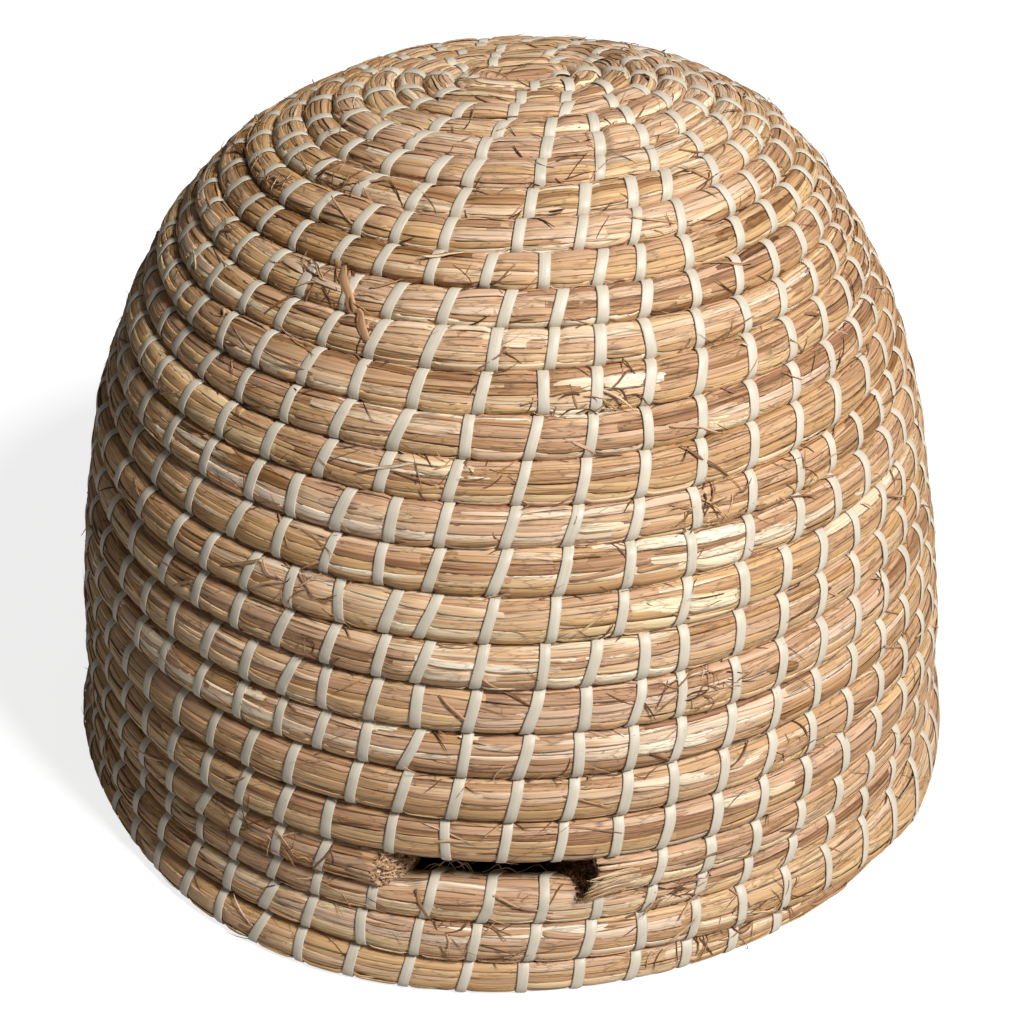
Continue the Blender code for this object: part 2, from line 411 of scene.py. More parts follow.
def stitch_press(turns, angle):
    """How much of a place lies under the nearest stitch, and how hard that stitch pinches it, from 0 to 1."""
    index = np.clip(np.searchsorted(RISING_STITCHES, turns), 1, len(RISING_STITCHES) - 1)
    side = along_stitch(angle)
    nearest = np.full(np.broadcast_shapes(np.shape(turns), np.shape(angle)), np.inf)
    for other in (index - 1, index):
        nearest = np.minimum(nearest, np.abs(turns + side * RISING_LEANS[other] - RISING_STITCHES[other]))
    distance = nearest * length_of_turn(turns)
    under = np.exp(-((distance / DENT_REACH) ** 4))
    around = np.exp(-((distance / PINCH_REACH) ** 2))
    return under, DENT_SHARE * under + (1 - DENT_SHARE) * around


def cut_flare(turns):
    """How far the rope spreads out close to the two cut ends at the entrance."""
    beyond = np.where(turns > ENTRANCE_TURNS, turns - UPPER_ROPE_END, LOWER_ROPE_TOP - turns)
    metres = np.maximum(beyond * math.tau * RIM_RADIUS, 0.0)
    return CUT_FLARE * np.exp(-metres / CUT_FLARE_REACH)


def entrance_rise(turns, angle):
    """How far the top of the row below the entrance stands up into it."""
    first = LOWER_ROPE_TOP - 1
    last = UPPER_ROPE_END - 1
    below = smooth_step(turns, first, first + ROW_BELOW_EASE)
    below = below * (1 - smooth_step(turns, last - ROW_BELOW_EASE, last))
    return ROW_BELOW_RISE * below * np.maximum(np.cos(angle), 0.0) ** 2


def on_rope(turns, angle, lift, share=1.0):
    """Points on the rope's surface, lifted off it by a small distance, which the stitches press down.

    A share below 1 gives points inside the rope.
    """
    low, high, depth = rope_size(turns)
    half_height = (high - low) / 2 * ROW_OVERLAP
    half_depth = depth / 2
    cosine, sine = np.cos(angle), np.sin(angle)
    power = SECTION_SQUARENESS
    reach = share * (np.abs(cosine) ** power + np.abs(sine) ** power) ** (-1 / power)
    normal_up = np.sign(cosine) * np.abs(cosine) ** (power - 1) / half_height
    normal_out = np.sign(sine) * np.abs(sine) ** (power - 1) / half_depth
    length = np.hypot(normal_up, normal_out)
    thinned = smooth_step((low + high) / 2, ROPE_THINS_FROM, ROPE_THIN_ABOVE)
    _, pinch = stitch_press(turns, angle)
    rise = lift - pinch * (WALL_DENT + (CROWN_DENT - WALL_DENT) * thinned)
    rise = rise + share * (cut_flare(turns) + entrance_rise(turns, angle))
    up = half_height * reach * cosine + rise * normal_up / length
    out = half_depth * reach * sine + rise * normal_out / length
    out = out + FACE_WANDER * wander(turns, WANDER_SPACING, FACE_SEED)
    height = np.maximum((low + high) / 2 + up, 0.0)
    return place(height, out, azimuth_of(turns))


def cut_turns(end, angle):
    """Where the rope stops at the entrance, which is farther from the opening on its outer side."""
    if end == UPPER_ROPE_END:
        away = CUT_BACK_LEFT + CUT_SLANT * np.sin(angle) + CUT_LEAN_LEFT * np.cos(angle)
    else:
        away = -(CUT_BACK_RIGHT + CUT_SLANT * np.sin(angle) + CUT_LEAN_RIGHT * np.cos(angle))
    return end + away / length_of_turn(np.array(end))


# Places along the rope that lie close together at each stitch, so that what is laid there follows the dents

CELL_GATHER = 0.6
CELL_POINTS = 65
CELL_SHARES = np.linspace(0, 1, CELL_POINTS)
CELL_PLACES = CELL_SHARES - CELL_GATHER * np.sin(math.tau * CELL_SHARES) / math.tau
CELL_ENDS = np.concatenate(([-1.0], RISING_STITCHES, [TOP_TURNS + 1.0]))
CELL_LEANS = np.concatenate(([0.0], RISING_LEANS, [0.0]))
CELL_NUMBERS = np.arange(len(CELL_ENDS))


def to_cells(turns):
    """How many stitches there are below a place on the rope, and what share of the way to the next."""
    position = np.interp(turns, CELL_ENDS, CELL_NUMBERS)
    cell = np.floor(position)
    return cell + np.interp(position - cell, CELL_PLACES, CELL_SHARES)


def stations_along(starts, ends, stations, angle):
    """Rows of places on the rope in turns, each from its start to its end at a section angle."""
    low, high = to_cells(starts), to_cells(ends)
    cells = low[:, None] + (high - low)[:, None] * np.linspace(0, 1, stations)
    whole = np.floor(cells)
    position = whole + np.interp(cells - whole, CELL_SHARES, CELL_PLACES)
    shift = along_stitch(angle) * np.interp(position, CELL_NUMBERS, CELL_LEANS)
    return np.interp(position, CELL_NUMBERS, CELL_ENDS) - shift


LENGTH_POINTS = 4000
LENGTH_TURNS = np.linspace(0, TOP_TURNS, LENGTH_POINTS)
LENGTHS = running_total(length_of_turn(LENGTH_TURNS[1:]) * np.diff(LENGTH_TURNS))


def scattered_turns(random, first, last, per_metre):
    """Random places along the rope, so many to the metre."""
    low, high = np.interp((first, last), LENGTH_TURNS, LENGTHS)
    return np.interp(random.uniform(low, high, int((high - low) * per_metre)), LENGTHS, LENGTH_TURNS)


# Meshes

# In the texture map each tube has a bar of its own, so many times as long as it is wide, with margins
BAR_SHAPE = 40
BAR_END_MARGIN = 0.02
BAR_SIDE_MARGIN = 0.05

# Sides of a thin straw, the greatest of the straws' own numbers, the least length that counts, and the step
# that shows which way leads off the rope
THIN_SIDES = 5
GREATEST_NUMBER = 400
LEAST_LENGTH = 1e-9
UP_STEP = 0.001


def tube_faces(tubes, stations, sides):
    """Corner numbers of the quads of rows of closed rings, and of the flat faces at their ends."""
    tube = np.arange(tubes)[:, None, None] * stations * sides
    station = np.arange(stations - 1)[None, :, None] * sides
    side = np.arange(sides)[None, None, :]
    after = (side + 1) % sides
    first = tube + station
    quads = np.stack((first + side, first + after, first + sides + after, first + sides + side), axis=-1)
    starts = np.arange(tubes)[:, None] * stations * sides + np.arange(sides)[None, ::-1]
    ends = np.arange(tubes)[:, None] * stations * sides + (stations - 1) * sides + np.arange(sides)[None, :]
    return quads.reshape(-1, 4), np.concatenate((starts, ends))


def atlas(tubes, stations, sides):
    """A place in the texture map for each corner of the quads: one small bar for each tube."""
    columns = max(1, round(math.sqrt(tubes / BAR_SHAPE)))
    rows = math.ceil(tubes / columns)
    number = np.arange(tubes)
    left = (number % columns)[:, None, None] / columns
    bottom = (number // columns)[:, None, None] / rows
    along = np.arange(stations)[None, :, None] / (stations - 1) * (1 - 2 * BAR_END_MARGIN) + BAR_END_MARGIN
    around = np.arange(sides + 1)[None, None, :] / sides * (1 - 2 * BAR_SIDE_MARGIN) + BAR_SIDE_MARGIN
    points = stacked(left + along / columns, bottom + around / rows)
    before, after = points[:, :-1], points[:, 1:]
    quads = np.stack((before[:, :, :-1], before[:, :, 1:], after[:, :, 1:], after[:, :, :-1]), axis=-2)
    caps = [np.repeat(points[:, end, :1], sides, axis=1).reshape(-1, 2) for end in (0, -1)]
    return np.concatenate((quads.reshape(-1, 2), *caps))


def add_vectors(mesh, name, values):
    data = mesh.attributes.new(name, "FLOAT_VECTOR", "POINT").data
    data.foreach_set("vector", np.ascontiguousarray(values, np.float32).ravel())


def make_tubes(name, points, look, grain, material):
    """One mesh of many closed tubes. Points, look and grain are tubes by stations by sides by three.

    The look is how light, how golden and how shiny the straw is; the shine also mixes in a pale colour,
    partly a painted highlight. The grain is the place along and across the straw in metres, and a number of
    its own for each straw.
    """
    tubes, stations, sides, _ = points.shape
    points = points.copy()
    points[..., 2] = np.maximum(points[..., 2], FLOOR_CLEARANCE)
    quads, caps = tube_faces(tubes, stations, sides)
    mesh = bpy.data.meshes.new(name)
    mesh.vertices.add(tubes * stations * sides)
    mesh.vertices.foreach_set("co", points.astype(np.float32).ravel())
    corners = np.concatenate((quads.ravel(), caps.ravel()))
    counts = np.concatenate((np.full(len(quads), 4), np.full(len(caps), sides)))
    mesh.loops.add(len(corners))
    mesh.loops.foreach_set("vertex_index", corners.astype(np.int32))
    mesh.polygons.add(len(counts))
    mesh.polygons.foreach_set("loop_start", np.concatenate(([0], np.cumsum(counts)[:-1])).astype(np.int32))
    mesh.update(calc_edges=True)
    add_vectors(mesh, "look", np.broadcast_to(look, points.shape))
    add_vectors(mesh, "grain", np.broadcast_to(grain, points.shape))
    layer = mesh.uv_layers.new(name="OFBake")
    layer.uv.foreach_set("vector", atlas(tubes, stations, sides).astype(np.float32).ravel())
    mesh.shade_smooth()
    mesh.materials.append(material)
    return add_object(name, mesh)


def dress(piece, slot, *nodes):
    """Puts a piece on the root body and hides the imported parts that it replaces. Its material slot is not
    used.
    """
    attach(piece, "root")
    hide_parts(*nodes)


def unit(vectors):
    return vectors / np.maximum(np.linalg.norm(vectors, axis=-1, keepdims=True), LEAST_LENGTH)


def tubes_along(paths, ups, half_width, half_thickness, sides):
    """Oval tubes along paths (tubes by stations by three), whose broad sides face the directions in ups."""
    along = unit(np.gradient(paths, axis=1))
    side = unit(np.cross(along, ups))
    up = np.cross(side, along)
    angle = np.linspace(0, math.tau, sides, endpoint=False)
    across = np.cos(angle) * half_width[..., None]
    over = np.sin(angle) * half_thickness[..., None]
    return paths[:, :, None] + side[:, :, None] * across[..., None] + up[:, :, None] * over[..., None]


def metres_along(path):
    return running_total(np.linalg.norm(np.diff(path, axis=0), axis=1))


def own_numbers(random, shape):
    """A number for each straw, which gives it a grain of its own."""
    return random.uniform(0, GREATEST_NUMBER, shape)


def with_ups(turns, angle, lift):
    """Points on the rope's surface, and the directions that lead straight off it there."""
    points = on_rope(turns, angle, lift)
    return points, on_rope(turns, angle, lift + UP_STEP) - points


def make_strands(name, node, material, random, paths, half, **settings):
    """Thin straws along paths (straws by stations by three), as one mesh, each with its own lightness."""
    sides = settings["sides"]
    points = tubes_along(paths, settings["ups"], half, half * settings["flatness"], sides)
    tone = random.uniform(*settings["tones"], (len(half), 1, 1))
    look = stacked(tone, settings["gold"], 0.0)
    around = np.cos(np.linspace(0, math.tau, sides, endpoint=False))
    metres = np.broadcast_to(settings["metres"], half.shape)[:, :, None]
    number = own_numbers(random, (len(half), 1, 1))
    grain = stacked(metres, half[:, :, None] * around, number)
    dress(make_tubes(name, points, look, grain, material), "straw", node)


# Materials


class Nodes:
    """A short way to write a material's nodes."""

    def __init__(self, name):
        self.material = bpy.data.materials.new(name)
        self.material.use_nodes = True
        self.tree = self.material.node_tree
        self.shader = self.tree.nodes["Principled BSDF"]

    def add(self, kind, inputs=(), **settings):
        node = self.tree.nodes.new(kind)
        for key, value in settings.items():
            setattr(node, key, value)
        for key, value in dict(inputs).items():
            self.put(node.inputs[key], value)
        return node

    def put(self, socket, value):
        if isinstance(value, bpy.types.NodeSocket):
            self.tree.links.new(value, socket)
        else:
            socket.default_value = value

    def ramp(self, factor, stops):
        node = self.add("ShaderNodeValToRGB", {"Fac": factor})
        elements = node.color_ramp.elements
        while len(elements) < len(stops):
            elements.new(0.5)
        for element, (position, colour) in zip(elements, stops):
            element.position = position
            element.color = colour
        return node.outputs["Color"]

    def noise(self, vector, scale, detail=3.0, roughness=0.55):
        """Noise in a space stretched by a scale for each direction."""
        node = self.add("ShaderNodeVectorMath", {0: vector, 1: scale}, operation="MULTIPLY")
        inputs = {"Vector": node.outputs["Vector"], "Scale": 1.0, "Detail": detail, "Roughness": roughness}
        return self.add("ShaderNodeTexNoise", inputs).outputs["Fac"]

    def cell_edges(self, vector, scale, warp):
        """Distance to the edges of long irregular cells."""
        node = self.add("ShaderNodeVectorMath", {0: vector, 1: scale, 2: warp}, operation="MULTIPLY_ADD")
        inputs = {"Vector": node.outputs["Vector"], "Scale": 1.0}
        return self.add("ShaderNodeTexVoronoi", inputs, feature="DISTANCE_TO_EDGE").outputs["Distance"]

    def span(self, value, low, high, to_low, to_high):
        inputs = {"Value": value, "From Min": low, "From Max": high, "To Min": to_low, "To Max": to_high}
        return self.add("ShaderNodeMapRange", inputs).outputs["Result"]

    def math(self, operation, first, second=0.0):
        return self.add("ShaderNodeMath", {0: first, 1: second}, operation=operation).outputs["Value"]

    def mix(self, share, first, second):
        node = self.add("ShaderNodeMix", data_type="RGBA")
        self.put(node.inputs["Factor"], share)
        colours = [socket for socket in node.inputs if socket.type == "RGBA"]
        self.put(colours[0], first)
        self.put(colours[1], second)
        return next(socket for socket in node.outputs if socket.type == "RGBA")

    def shaded(self, colour, strength):
        """A colour made lighter or darker by a number near 1."""
        node = self.add("ShaderNodeVectorMath", {0: colour, "Scale": strength}, operation="SCALE")
        return node.outputs["Vector"]

    def attribute(self, name):
        return self.add("ShaderNodeAttribute", attribute_name=name).outputs["Vector"]

    def parts(self, vector):
        node = self.add("ShaderNodeSeparateXYZ", {"Vector": vector})
        return node.outputs["X"], node.outputs["Y"], node.outputs["Z"]

    def finished(self, colour, roughness, height, strength, specular):
        """The material, once its shader has a colour, a roughness, a bump so strong, and so much shine."""
        self.put(self.shader.inputs["Base Color"], colour)
        self.put(self.shader.inputs["Roughness"], roughness)
        bump = self.add("ShaderNodeBump", {"Height": height, "Strength": strength, "Distance": BUMP_DISTANCE})
        self.put(self.shader.inputs["Normal"], bump.outputs["Normal"])
        self.shader.inputs["Specular IOR Level"].default_value = specular
        return self.material


ROSY_STRAW = (
    (0.00, linear(70, 44, 28)),
    (0.20, linear(122, 80, 49)),
    (0.42, linear(176, 134, 100)),
    (0.62, linear(202, 164, 132)),
    (0.82, linear(222, 196, 170)),
    (1.00, linear(242, 224, 202)),
)
GOLDEN_STRAW = (
    (0.00, linear(76, 48, 26)),
    (0.20, linear(130, 88, 47)),
    (0.42, linear(185, 142, 94)),
    (0.62, linear(207, 169, 121)),
    (0.82, linear(224, 197, 154)),
    (1.00, linear(243, 221, 176)),
)
# Pale colour of glossy straw: partly its own colour and partly a painted highlight
PALE_STRAW_AND_PAINTED_HIGHLIGHT = linear(240, 226, 200)
CANE_COLOURS = ((0.25, linear(182, 171, 151)), (0.55, linear(202, 192, 174)), (0.80, linear(213, 205, 190)))

# Patterns: how fine each is along the piece, across it and from piece to piece, its detail and roughness
STREAKS = ((26, 1500, 1), 3.0, 0.6)
BANDS = ((10, 420, 1), 2.0)
PATCHES = ((16, 190, 1), 2.0)
RIDGES = ((17, 520, 1), 1.0)
CRACKED = ((40, 140, 1), 1.0)
CRACKLED = ((26, 120, 1), 1.0)
CRACKLE_CELLS = (105, 640, 1)
CANE_LINES = ((30, 1800, 1), 3.0)
CANE_BLOTCHES = ((90, 140, 1), 2.0)
CANE_SPECKS = ((700, 900, 1), 1.0)

# What a pattern does: between which two of its values, and from what to what
STREAK_TONE = (0.3, 0.7, -0.15, 0.15)
BAND_TONE = (0.3, 0.7, -0.09, 0.09)
PALE_PATCHES = (0.44, 0.60, 0.0, 1.0)
PALE_STREAKS = (0.35, 0.6, 0.45, 1.0)
HAIRLINES = (0.0, 0.028, 1.0, 0.0)
HAIRLINE_PLACES = (0.42, 0.5, 0.0, 1.0)
CRACKLE = (0.0, 0.06, 1.0, 0.0)
CRACKLE_PLACES = (0.45, 0.54, 0.0, 0.85)
CRACK_SHADE = (0.0, 1.0, 1.0, 0.44)
STRAW_ROUGHNESS = (0.0, 1.0, 0.62, 0.36)
SPECK_SHADE = (0.74, 0.80, 1.0, 0.55)
CANE_ROUGHNESS = (0.3, 0.7, 0.42, 0.55)

# Where the ridges' value is this, there is a hairline. Then the relief and the shine of both materials
RIDGE_LEVEL = 0.5
STREAK_HEIGHT = 0.6
BUMP_DISTANCE = 0.0003
STRAW_BUMP = 0.5
STRAW_SPECULAR = 0.33
CANE_BUMP = 0.3
CANE_SPECULAR = 0.4


def straw_material(name):
    """Dry straw: fine streaks along it, hairline cracks, crackled patches, and on some straws glossy pale
    patches, whose pale colour is partly the straw's own and partly a painted highlight.
    """
    nodes = Nodes(name)
    grain = nodes.attribute("grain")
    tone, gold, shine = nodes.parts(nodes.attribute("look"))
    streaks = nodes.noise(grain, *STREAKS)
    tone = nodes.math("ADD", tone, nodes.span(streaks, *STREAK_TONE))
    tone = nodes.math("ADD", tone, nodes.span(nodes.noise(grain, *BANDS), *BAND_TONE))
    colour = nodes.mix(gold, nodes.ramp(tone, ROSY_STRAW), nodes.ramp(tone, GOLDEN_STRAW))
    # Pale patches on glossy straws: partly the straw's own pale colour and partly a painted highlight
    pale = nodes.math("MULTIPLY", nodes.span(nodes.noise(grain, *PATCHES), *PALE_PATCHES), shine)
    streaked = nodes.math("MULTIPLY", pale, nodes.span(streaks, *PALE_STREAKS))
    colour = nodes.mix(streaked, colour, PALE_STRAW_AND_PAINTED_HIGHLIGHT)
    off_ridge = nodes.math("ABSOLUTE", nodes.math("SUBTRACT", nodes.noise(grain, *RIDGES), RIDGE_LEVEL))
    cracked = nodes.span(nodes.noise(grain, *CRACKED), *HAIRLINE_PLACES)
    hairline = nodes.math("MULTIPLY", nodes.span(off_ridge, *HAIRLINES), cracked)
    edges = nodes.cell_edges(grain, CRACKLE_CELLS, warp=streaks)
    crackled = nodes.span(nodes.noise(grain, *CRACKLED), *CRACKLE_PLACES)
    crackle = nodes.math("MULTIPLY", nodes.span(edges, *CRACKLE), crackled)
    crack = nodes.math("MAXIMUM", hairline, crackle)
    colour = nodes.shaded(colour, nodes.span(crack, *CRACK_SHADE))
    height = nodes.math("SUBTRACT", nodes.math("MULTIPLY", streaks, STREAK_HEIGHT), crack)
    return nodes.finished(colour, nodes.span(pale, *STRAW_ROUGHNESS), height, STRAW_BUMP, STRAW_SPECULAR)


def cane_material(name):
    """Split cane: smooth and pale, with faint lines along it and a few dark specks."""
    nodes = Nodes(name)
    grain = nodes.attribute("grain")
    lines = nodes.noise(grain, *CANE_LINES)
    blotches = nodes.noise(grain, *CANE_BLOTCHES)
    average = nodes.math("MULTIPLY", nodes.math("ADD", lines, blotches), 0.5)
    colour = nodes.ramp(average, CANE_COLOURS)
    colour = nodes.shaded(colour, nodes.span(nodes.noise(grain, *CANE_SPECKS), *SPECK_SHADE))
    return nodes.finished(colour, nodes.span(blotches, *CANE_ROUGHNESS), lines, CANE_BUMP, CANE_SPECULAR)


# Cores of the straw ropes, which stop short of the cut ends

CORE_SIDES = 20
CORE_STATIONS_PER_TURN = 130
CORE_SINK = -0.0003
CORE_LUMPS = 0.0003
# The core is darker than the straws: painted shade for the gaps between them
CORE_PAINTED_SHADE_TONE = 0.38
CORE_TONE_SPREAD = (-0.06, 0.08)
CORE_GOLD = 0.4
CORE_BACK_LEFT = 0.0015
CORE_BACK_RIGHT = 0.014


def make_core(name, first, last, material, node):
    """The body of one rope, painted darker than its straws as painted shade, which shows only in the gaps
    between them.
    """
    stations = int((last - first) * CORE_STATIONS_PER_TURN)
    angle = np.linspace(0, math.tau, CORE_SIDES, endpoint=False)[None, :]
    per_metre = 1 / length_of_turn(np.array(ENTRANCE_TURNS))
    low, high = first, last
    if first == UPPER_ROPE_END:
        low = cut_turns(first, angle) + CORE_BACK_LEFT * per_metre
    if last == LOWER_ROPE_TOP:
        high = cut_turns(last, angle) - CORE_BACK_RIGHT * per_metre
    turns = low + (high - low) * np.linspace(0, 1, stations)[:, None]
    random = np.random.default_rng(CORE_SEED)
    lumps = random.normal(0, CORE_LUMPS, turns.shape)
    points = on_rope(turns, angle, CORE_SINK + lumps)[None]
    tone = CORE_PAINTED_SHADE_TONE + random.uniform(*CORE_TONE_SPREAD, turns.shape)
    look = stacked(tone, CORE_GOLD, 0.0)[None]
    along = turns * length_of_turn(turns)
    grain = stacked(along, angle * WALL_ROPE_DEPTH / 2, 0.0)[None]
    dress(make_tubes(name, points, look, grain, material), "straw", node)


# Straws on the ropes

# Straws side by side. Ends are shares of a straw's length, and their widths shares of its greatest one
STRAW_THICKNESS = 0.0003
FLATTENED = 0.85
STRAW_LENGTH = (0.06, 0.24)
STRAW_LIFT = (0.0, 0.0005)
STRAW_WAVES = 1.4
STRAW_WAVE_LIFT = 0.0001
STRAW_ROUNDING = (0.015, 0.085)
STRAW_END = 0.05
STRAW_END_WIDTH = 0.45
STRAW_END_SINK = 0.0012
STRAW_OVERLAP = (0.06, 0.2)
SHORTEST_STRAW_TURNS = 0.008
UPPER_UNEVENNESS = 0.45
UNEVENNESS_ANGLES = (math.radians(60), math.radians(105))
LANE_FILL = 1.09
LANE_WANDER = 0.55
LANE_WANDER_SPACING = 0.055
LANE_START_TURNS = 0.1
OUTSIDE = (math.radians(6), math.radians(174))
OUTSIDE_LANES = 9
OUTSIDE_STATIONS = 56
INSIDE = (math.radians(186), math.radians(354))
INSIDE_LANES = 8
INSIDE_STATIONS = 14

# Loose straws, which lie over those. The stray ones lie low on their row
LOOSE_PER_METRE = 52
LOOSE_STATIONS = 28
LOOSE_LENGTH = (0.016, 0.085)
LOOSE_WIDTH = (0.0009, 0.0036)
LOOSE_LIFT = (0.0003, 0.0008)
LOOSE_ANGLES = (OUTSIDE[0] + 0.25, OUTSIDE[1] - 0.35)
LOOSE_SKEW = 0.30
LOOSE_BEND = 0.05
LOOSE_TIP = 0.10
LOOSE_TIP_WIDTH = 0.08
LOOSE_TIP_SINK = 0.0026
STRAY_SHARE = 0.16
STRAY_ANGLE = 2.78

# How many rows of each make one piece
OUTSIDE_ROWS_IN_A_PIECE = 1.75
INSIDE_ROWS_IN_A_PIECE = 6
LOOSE_ROWS_IN_A_PIECE = 6

# Corners of a straw's section: across it, how much a rounded straw is raised there, and on which of its sides
SECTION_ACROSS = np.array([-1.0, -0.62, 0.0, 0.62, 1.0, 0.7, -0.7])
SECTION_ROUND = np.array([0.0, 0.72, 1.0, 0.72, 0.0, 0.0, 0.0])
SECTION_SIDE = np.array([1.0, 1.0, 1.0, 1.0, 1.0, -1.0, -1.0])


class Straws:
    """Straws to be laid on a rope: the line and half width of each in section angles, its lift and looks."""

    def __init__(self, turns, angle, half, lift, look, number):
        self.turns = turns
        self.angle = angle
        self.half = half
        self.lift = lift
        self.look = look
        self.number = number

    def chosen(self, keep):
        return Straws(*(values[keep] for values in vars(self).values()))

    def __len__(self):
        return len(self.turns)


def joined(groups):
    return Straws(*(np.concatenate(values) for values in zip(*(vars(group).values() for group in groups))))


def lane_edge(turns, lane, lanes, span):
    """Section angle of the edge between two lanes, which wanders so that the straws' widths vary."""
    step = (span[1] - span[0]) / lanes
    if lane in (0, lanes):
        return span[0] + step * lane + 0 * turns
    return span[0] + step * (lane + LANE_WANDER * wander(turns, LANE_WANDER_SPACING, LANE_SEED + lane))


def lane_runs(random, first, last):
    """Where the straws that follow each other along one lane start and end, in turns."""
    starts, ends = [], []
    turns = first - random.uniform(0, LANE_START_TURNS)
    while turns < last:
        span = random.uniform(*STRAW_LENGTH) / float(length_of_turn(np.array(max(turns, first))))
        starts.append(turns)
        ends.append(turns + span)
        turns += span * (1 - random.uniform(*STRAW_OVERLAP))
    return np.maximum(starts, first), np.minimum(ends, last)


# Looks of the straws

# A spot is its azimuth, how far it reaches round, its height, and how far it reaches up and down. The other
# places begin at one angle or height and are full at another
# This spot gathers pale glossy straws where the key light's highlight falls on the wall: a painted highlight
PAINTED_HIGHLIGHT_SPOT = (math.radians(14), math.radians(17), 0.185, 0.085)
ENTRANCE_SPOT = (math.radians(9), math.radians(21), 0.046, 0.018)
LOWER_SIDE = (math.radians(90), math.radians(115))
GOLDEN_SIDES = (math.radians(20), math.radians(50))
LEFT_SIDE = (math.radians(25), math.radians(50))
DARK_SIDES = (math.radians(25), math.radians(50))
CROWN_HEIGHTS = (0.28, 0.40)

# How golden straw is, from 0 to 1: the usual value, how far it wanders along the rope and over what part of a
# turn, how far single straws differ from it, and what each place adds
GOLD = 0.16
GOLD_WANDER = 0.30
GOLD_WANDER_SPACING = 0.17
GOLD_SPREAD = 0.25
LOWER_SIDE_GOLD = 0.45
SIDE_GOLD = 0.30
# The left side, away from the key light, is painted more golden: a painted warm tint of its shade
LEFT_GOLD_AS_PAINTED_WARM_SHADE = 0.35
CROWN_GOLD = -0.25
ENTRANCE_GOLD = 0.40

# How light straw is, in the same way
TONE = 0.51
TONE_WANDER = 0.07
TONE_WANDER_SPACING = 0.11
TONE_SPREAD = 0.10
LOWER_SIDE_TONE = 0.05
SIDE_TONE = -0.04
# Straw on the crown is painted lighter: painted light from above
CROWN_PAINTED_LIGHT_TONE = 0.10
ENTRANCE_TONE = 0.16
# Glossy straws are painted lighter: partly their own paleness and partly a painted highlight
GLOSSY_TONE_AND_PAINTED_HIGHLIGHT = 0.14
LEAST_TONE = 0.1

# Share of glossy straws, what the painted highlight spot adds to it, and how glossy they are. Glossy straws
# are also painted paler, partly their own colour and partly a painted highlight
GLOSSY_SHARE = 0.05
PAINTED_HIGHLIGHT_SPOT_SHARE = 0.38
SHINE_AND_PAINTED_HIGHLIGHT = (0.6, 1.0)


def nearness(azimuth, height, spot):
    """1 in the middle of a spot on the wall, falling off round it."""
    return np.exp(-(((azimuth - spot[0]) / spot[1]) ** 2) - ((height - spot[2]) / spot[3]) ** 2)


def looks_of(random, turns, angle):
    """How light, golden and shiny each straw is, from where it lies and at random. Glossy straws are painted
    paler, partly a painted highlight, and gather at a painted highlight spot; the crown is painted lighter as
    painted light, and the shaded left side more golden as painted warm shade.
    """
    count = len(turns)
    azimuth = (azimuth_of(turns) + math.pi) % math.tau - math.pi
    height = seam(turns - 0.5)
    lower_side = smooth_step(angle, *LOWER_SIDE)
    crown = smooth_step(height, *CROWN_HEIGHTS)
    by_entrance = nearness(azimuth, height, ENTRANCE_SPOT)
    gold = GOLD + GOLD_WANDER * wander(turns, GOLD_WANDER_SPACING, GOLD_SEED)
    gold = gold + random.normal(0, GOLD_SPREAD, count) + LOWER_SIDE_GOLD * lower_side
    gold = gold + SIDE_GOLD * smooth_step(np.abs(azimuth), *GOLDEN_SIDES)
    # More gold on the shaded left side: painted warm shade
    gold = gold + LEFT_GOLD_AS_PAINTED_WARM_SHADE * smooth_step(-azimuth, *LEFT_SIDE)
    gold = gold + CROWN_GOLD * crown + ENTRANCE_GOLD * by_entrance
    tone = TONE + TONE_WANDER * wander(turns, TONE_WANDER_SPACING, TONE_SEED)
    tone = tone + random.normal(0, TONE_SPREAD, count) + LOWER_SIDE_TONE * lower_side
    # The crown's straw is painted lighter: painted light
    tone = tone + CROWN_PAINTED_LIGHT_TONE * crown + SIDE_TONE * smooth_step(np.abs(azimuth), *DARK_SIDES)
    tone = tone + ENTRANCE_TONE * by_entrance
    # Pale glossy straws, made lighter, gather at a spot: a painted highlight there
    chance = GLOSSY_SHARE + PAINTED_HIGHLIGHT_SPOT_SHARE * nearness(azimuth, height, PAINTED_HIGHLIGHT_SPOT)
    glossy = random.uniform(0, 1, count) < chance
    shine = np.where(glossy, random.uniform(*SHINE_AND_PAINTED_HIGHLIGHT, count), 0.0)
    tone = np.where(glossy, tone + GLOSSY_TONE_AND_PAINTED_HIGHLIGHT, tone)
    return stacked(np.clip(tone, LEAST_TONE, 1.0), np.clip(gold, 0.0, 1.0), shine)


# Laying the straws


def taper(share, length, least):
    """1 along a straw, falling to a least value at its two ends."""
    return 1 - (1 - least) * (np.exp(-share / length) + np.exp(-(1 - share) / length))


def unevenness(angle):
    """How far straws stand out from each other, which is less on a row's upper part, where it is pressed."""
    return UPPER_UNEVENNESS + (1 - UPPER_UNEVENNESS) * smooth_step(angle, *UNEVENNESS_ANGLES)


